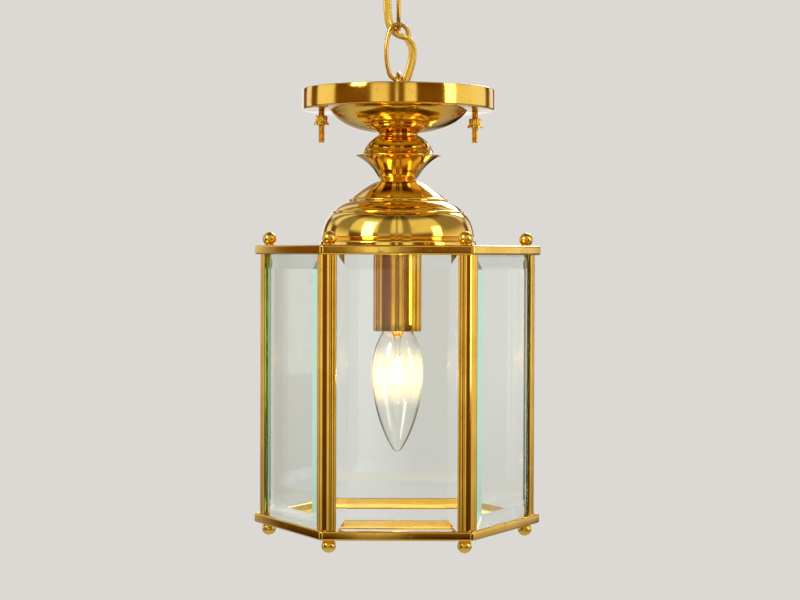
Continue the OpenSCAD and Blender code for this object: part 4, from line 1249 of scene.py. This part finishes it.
@dataclass
class Cage:
    """Two trays, six posts with their rods and ball nuts, and six panes."""

    apothem: float = 77.9
    corner_r: float = 3.0
    edge_r: float = 1.2
    sheet: float = 1.2
    lip: float = 2.0
    rail: float = 16.4
    post_play: float = 0.4
    bead_w: float = 8.0
    bead_h: float = 1.2
    flange: float = 3.2
    post_wall: float = 1.0
    flange_return: float = 0.8
    rod_r: float = 1.5
    tube_r: float = 2.1
    bore_r: float = 1.6
    ball_r: float = 4.3
    ball_lift: float = 3.9
    ball_collar_r: float = 3.0
    ball_collar_h: float = 0.6
    pane_t: float = 5.0
    pane_edge_t: float = 2.6
    bevel_side: float = 8.8
    bevel_end: float = 12.6
    pane_play: float = 0.6
    arris: float = 0.25

    def __post_init__(self) -> None:
        """Work out the sizes that follow from the fields."""
        slant = math.cos(math.radians(30))
        self.ring_z = -CLEAR_H - TRAY_H
        self.flange_face = self.apothem - self.lip - self.post_play
        self.chord_r = (self.flange_face - self.bead_w / 4) / slant
        self.bead_r = ((self.bead_w / 2) ** 2 + self.bead_h ** 2) / (2 * self.bead_h)
        self.post_low = self.ring_z + self.sheet
        self.post_high = TRAY_H - self.sheet
        self.pane_face = self.flange_face - 0.5
        self.pane_back = self.pane_face - self.pane_t
        self.rod_circle = (self.pane_back - 0.4) / slant
        self.pane_half = self.rod_circle / 2 - self.tube_r - 0.1

    def outline(self, inset: float, z: float) -> list[Point3]:
        """The trays' outline moved inwards, at one height."""
        points = hexagon(self.apothem - inset, max(self.corner_r - inset, 0.8))
        return [(x, y, LANTERN_Z + z) for x, y in points]

    def tray_sides(self) -> list[tuple[float, float]]:
        """Inset and height up the rolled outer edge, from the lip to the sheet."""
        lower = [(self.edge_r - x, z) for x, z in arc((0, self.edge_r), self.edge_r, -90, 0, 8)]
        upper = [(self.edge_r - x, z)
                 for x, z in arc((0, TRAY_H - self.edge_r), self.edge_r, 0, 90, 8)]
        return lower + upper

    def trays(self) -> None:
        """Make the upper tray, open downwards, and the lower one with its opening."""
        rings = [self.outline(inset, z) for inset, z in self.tray_sides()]
        hole = [(PIPE_HOLE_R * math.cos(a), PIPE_HOLE_R * math.sin(a))
                for a in (math.atan2(y, x) for x, y, _ in rings[0])]
        under = TRAY_H - self.sheet
        rings += [[(x, y, LANTERN_Z + z) for x, y in hole] for z in (TRAY_H, under)]
        rings += [self.outline(self.lip + 0.4, under), self.outline(self.lip, under - 0.4),
                  self.outline(self.lip, 0.3), self.outline(self.lip - 0.3, 0)]
        top = piece("upper_tray", loft(rings, ring_loop=True), PRESSED_BRASS.material(), 38)
        self.leave_satin(top, LANTERN_Z, LANTERN_Z + TRAY_H - self.sheet / 2)
        seat(top, "lantern", PRESSED_BRASS.slot, "top_tray")
        rings = [self.outline(inset, self.ring_z + z) for inset, z in self.tray_sides()]
        rings += [self.outline(self.lip - 0.3, self.ring_z + TRAY_H),
                  self.outline(self.lip, self.ring_z + TRAY_H - 0.3),
                  self.outline(self.lip, self.ring_z + self.sheet + 0.4),
                  self.outline(self.lip + 0.4, self.ring_z + self.sheet),
                  self.outline(self.rail - 0.3, self.ring_z + self.sheet),
                  self.outline(self.rail, self.ring_z + self.sheet - 0.3),
                  self.outline(self.rail, self.ring_z + 0.3),
                  self.outline(self.rail - 0.3, self.ring_z)]
        low = piece("lower_ring", loft(rings, ring_loop=True), PRESSED_BRASS.material(), 38)
        floor_z = LANTERN_Z + self.ring_z
        self.leave_satin(low, floor_z + self.sheet / 2 + 0.05, floor_z + TRAY_H)
        seat(low, "lantern", PRESSED_BRASS.slot, "bottom_ring")

    def leave_satin(self, tray: bpy.types.Object, low: float, high: float) -> None:
        """Give a tray's inside, between two heights, its unpolished finish."""
        tray.data.materials.append(SATIN_BRASS.material())
        for face in tray.data.polygons:
            x, y, z = face.center / MM
            reach = max(x * math.cos(a) + y * math.sin(a)
                        for a in (math.radians(30 + 60 * k) for k in range(6)))
            if low < z < high and self.apothem - reach > self.lip - 0.1:
                face.material_index = 1

    def post_half(self) -> list[Point2]:
        """Half of a post's outline, from the bead's middle round to the inside."""
        lean = math.radians(30)
        along = Vector((-math.sin(lean), math.cos(lean)))
        out = Vector((math.cos(lean), math.sin(lean)))
        end = math.degrees(math.asin(self.bead_w / 2 / self.bead_r))
        bead = arc((self.chord_r + self.bead_h - self.bead_r, 0), self.bead_r, 0, end, 14)
        foot = Vector(bead[-1])

        def on_flange(run: float, depth: float) -> Point2:
            """A point so far along the flange and so far below its face."""
            return tuple(foot + along * run - out * depth)

        w, f = self.post_wall, self.flange
        deep = w + self.flange_return
        points = bead[:-1] + [on_flange(*p) for p in (
            (-0.08, 0.04), (0.05, 0.3), (0.3, 0.38), (0.55, 0.3), (0.65, 0.04), (0.75, 0),
            (f - 0.3, 0), (f - 0.09, 0.09), (f, 0.3), (f, deep - 0.2), (f - 0.2, deep),
            (f - 0.6, deep), (f - 0.8, deep - 0.2), (f - 0.8, w), (-0.9, w))]
        points += [(self.chord_r, w)]
        start = math.degrees(math.asin(w / self.tube_r))
        lip_in, lip_out = -(self.rod_circle / 2), -(self.pane_half - 2.5)
        reach = math.sqrt(self.tube_r ** 2 - 0.4 ** 2)
        leave = 30 + math.degrees(math.atan2(reach, 0.4))
        points += arc((self.rod_circle, 0), self.tube_r, start, leave, 8)

        def on_lip(run: float, depth: float) -> Point2:
            """A point of the inner lip, behind the pane."""
            u, v = self.pane_back - depth, lip_in + run
            return (u * math.cos(lean) - v * math.sin(lean),
                    u * math.sin(lean) + v * math.cos(lean))

        span = lip_out - lip_in
        points += [on_lip(*p) for p in ((span - 0.2, 0), (span, 0.2), (span, 0.6),
                                        (span - 0.2, 0.8))]
        points += arc((self.rod_circle, 0), self.tube_r, 240 - leave, 180, 6)
        return points

    def post(self, k: int) -> None:
        """Make one corner post of drawn section, bored for its rod."""
        half = self.post_half()
        section = half + [(x, -y) for x, y in half[-2:0:-1]]
        low, high = LANTERN_Z + self.post_low, LANTERN_Z + self.post_high
        shape = bmesh.new()
        loops = []
        for outline in (section, arc((self.rod_circle, 0), self.bore_r, 0, 345, 23)):
            ends = [[shape.verts.new((x, y, z)) for x, y in outline] for z in (low, high)]
            n = len(outline)
            for s in range(n):
                t = (s + 1) % n
                shape.faces.new((ends[0][s], ends[0][t], ends[1][t], ends[1][s]))
            loops.append(ends)
        for end in (0, 1):
            edges = []
            for ends in loops:
                ring = ends[end]
                edges += [shape.edges.get((a, b)) for a, b in zip(ring, ring[1:] + ring[:1])]
            bmesh.ops.triangle_fill(shape, edges=edges, use_beauty=True)
        shape.verts.index_update()
        solid = ([tuple(v.co) for v in shape.verts],
                 [[v.index for v in face.verts] for face in shape.faces])
        shape.free()
        obj = piece(f"corner_post_{k}_drawn", turned(solid, 60 * (k - 1)),
                    DRAWN_BRASS.material(), 30)
        seat(obj, "lantern", DRAWN_BRASS.slot, f"corner_post_{k}")

    def ball_nuts(self) -> None:
        """Make the six ball nuts above the cage and the six below it."""
        r, lift, c, h = self.ball_r, self.ball_lift, self.ball_collar_r, self.ball_collar_h
        start = -math.degrees(math.asin((lift - h) / r))
        profile = [(self.rod_r + 0.05, 0), (c - 0.15, 0), (c, 0.15), (c, h - 0.12),
                   (c - 0.1, h)]
        profile += arc((0, lift), r, start, 90, 32)
        profile += [(0, 5.0), (self.rod_r + 0.05, 5.0)]
        for name, node, z, flip in (("ball_nuts_upper", "top_ball_nuts", TRAY_H, 1),
                                    ("ball_nuts_lower", "bottom_ball_nuts", self.ring_z, -1)):
            solid = revolve([(x, flip * y) for x, y in profile], 48,
                            (self.rod_circle, 0, LANTERN_Z + z))
            obj = piece(name, merged(turned(solid, 60 * k) for k in range(6)),
                        TURNED_BRASS.material(), 38)
            seat(obj, "lantern", TURNED_BRASS.slot, node)

    def pane(self, k: int) -> None:
        """Make one pane with polished bevels and a fine arris on its edges."""
        w, a, h = self.pane_half, self.arris, self.post_high - self.post_low - self.pane_play
        low = LANTERN_Z + self.post_low

        def ring(inset_w: float, inset_h: float, out: float) -> list[Point3]:
            """One outline of the pane, at a distance in front of its back face."""
            x, y = w - inset_w, -self.pane_back - out
            return [(-x, y, low + inset_h), (x, y, low + inset_h),
                    (x, y, low + h - inset_h), (-x, y, low + h - inset_h)]

        rings = [ring(a, a, 0), ring(0, 0, a), ring(0, 0, self.pane_edge_t - a),
                 ring(a, a, self.pane_edge_t + a * (self.pane_t - self.pane_edge_t)
                      / self.bevel_side),
                 ring(self.bevel_side, self.bevel_end, self.pane_t)]
        obj = piece(f"glass_pane_{k}_bevelled", turned(loft(rings, caps=True), 60 * (k - 1)),
                    PLATE_GLASS.material(), 1)
        obj.data.materials.append(PANE_EDGE.material())
        for face in obj.data.polygons[:12]:
            face.material_index = 1
        seat(obj, "lantern", PLATE_GLASS.slot, f"glass_pane_{k}")

    def build(self) -> None:
        """Make the cage from the trays inwards."""
        self.trays()
        for k in range(1, 7):
            self.post(k)
            self.pane(k)
        self.ball_nuts()
        dress("tie_rods", TURNED_BRASS.material())


# Lamp

@dataclass
class Lamp:
    """Sleeve, lampholder and candle lamp."""

    sleeve_r: float = 15.25
    sleeve_drop: float = 47.7
    sleeve_wall: float = 0.8
    cap_r: float = 8.5
    cap_top: float = -27.0
    cap_len: float = 19.0
    glass_r: float = 16.3
    glass_h: float = 77.4
    glass_wall: float = 0.8
    stem_len: float = 17.0
    wire_drop: float = 13.0
    wire_spread: float = 5.0

    def sleeve(self) -> None:
        """Make the sleeve, a tube with a closed top and a rolled lower edge."""
        r, w, low, high = self.sleeve_r, self.sleeve_wall, -self.sleeve_drop, TRAY_H - 1.2
        profile = [(PIPE_HOLE_R, high), (r - 0.8, high)] + arc((r - 0.8, high - 0.8), 0.8,
                                                               90, 0, 6)[1:]
        profile += [(r, low + 6)] + arc((r - w / 2, low + w / 2), w / 2, 0, -180, 8)
        profile += [(r - w, high - w), (PIPE_HOLE_R, high - w)]
        obj = piece("socket_sleeve_tube", revolve(profile, 128, (0, 0, LANTERN_Z)),
                    SLEEVE_BRASS.material(), 38)
        seat(obj, "lantern", SLEEVE_BRASS.slot, "socket_sleeve")

    def cap(self) -> None:
        """Make the lamp's cap with its rolled thread."""
        bottom = self.cap_top - self.cap_len
        r = self.cap_r
        screw = thread(r, 0.6, 2.8, bottom + 3.2, self.cap_top - 1.6, 64, 10, rounded=True)
        skirt = revolve([(0, bottom), (r - 0.25, bottom), (r, bottom + 0.3), (r, bottom + 2.4),
                         (r - 0.6, bottom + 3.3), (0, bottom + 3.3)], 64)
        crown = revolve([(0, self.cap_top - 1.7), (r - 0.6, self.cap_top - 1.7),
                         (r - 1.5, self.cap_top - 0.3), (r - 2.4, self.cap_top),
                         (0, self.cap_top)], 64)
        solid = moved(merged([screw, skirt, crown]), Matrix.Translation((0, 0, LANTERN_Z)))
        obj = piece("lamp_screw_cap", solid, TURNED_BRASS.material(), 40)
        seat(obj, "lamp", TURNED_BRASS.slot, "lamp_cap")

    def bulb(self) -> None:
        """Make the candle-shaped glass with its real wall."""
        r, h, w = self.glass_r, self.glass_h, self.glass_wall
        line = curve([(self.cap_r, 0), (13, -0.115 * h), (r, -0.19 * h), (r, -0.35 * h)], 30)
        line += curve([(r, -0.355 * h), (r, -0.57 * h), (0.66 * r, -0.83 * h), (2.6, 1.1 - h)],
                      44)
        line += curve([(2.6, 1.1 - h), (2.0, 0.4 - h), (1.2, -h), (0, -h)], 8)[1:]
        inner = [(max(x - w, 0.0), z + (w / 2 if z < -h / 2 else 0)) for x, z in line
                 if x > w + 0.4]
        profile = line + [(0, 1.5 * w - h)] + inner[::-1]
        at = (0, 0, LANTERN_Z + self.cap_top - self.cap_len)
        obj = piece("lamp_envelope", revolve(profile, 96, at), LAMP_GLASS.material(), 40)
        seat(obj, "lamp", LAMP_GLASS.slot, "lamp_glass")

    def filament(self) -> None:
        """Make the coiled filament, its coil about three times as coarse as real."""
        centre_z = LANTERN_Z + self.cap_top - self.cap_len - self.stem_len - self.wire_drop
        turns, coil_r, wire_r = 36, 0.33, 0.1
        path = []
        for i in range(turns * 10 + 1):
            swing = math.pi * (1 + i / (turns * 10))
            roll = 2 * math.pi * i / 10
            reach = self.wire_spread + coil_r * math.cos(roll)
            path.append((reach * math.cos(swing), coil_r * math.sin(roll),
                         centre_z + reach * math.sin(swing)))
        obj = piece("lamp_coil", tube(path, [wire_r] * len(path), 6), TUNGSTEN.material(), 60)
        seat(obj, "lamp", TUNGSTEN.slot, "lamp_filament")

    def build(self) -> None:
        """Make the lamp and dress the pieces that hold it."""
        self.sleeve()
        self.cap()
        self.bulb()
        self.filament()
        for node, finish in (("sleeve_nut", ZINC_STEEL), ("lampholder_body", PORCELAIN),
                             ("lampholder_shell", TURNED_BRASS),
                             ("centre_contact", TURNED_BRASS),
                             ("terminal_screws", ZINC_STEEL), ("core_wires", BLACK),
                             ("lamp_insulator", BLACK), ("lamp_tip", SOLDER),
                             ("lamp_stem", STEM_GLASS), ("lamp_wires", SOLDER)):
            dress(node, finish.material())


def main() -> None:
    """Build the studio and the lantern."""
    logging.basicConfig(level=logging.INFO, format="%(name)s: %(message)s")
    bpy.context.scene.view_settings.view_transform = "Standard"
    studio = Studio()
    studio.camera()
    Flex().build()
    for part in (Chain(), Canopy(), Stem(), Cage(), Lamp()):
        part.build()
    studio.lamps()
    studio.surroundings()
    studio.floor()


if __name__ == "__main__":
    main()
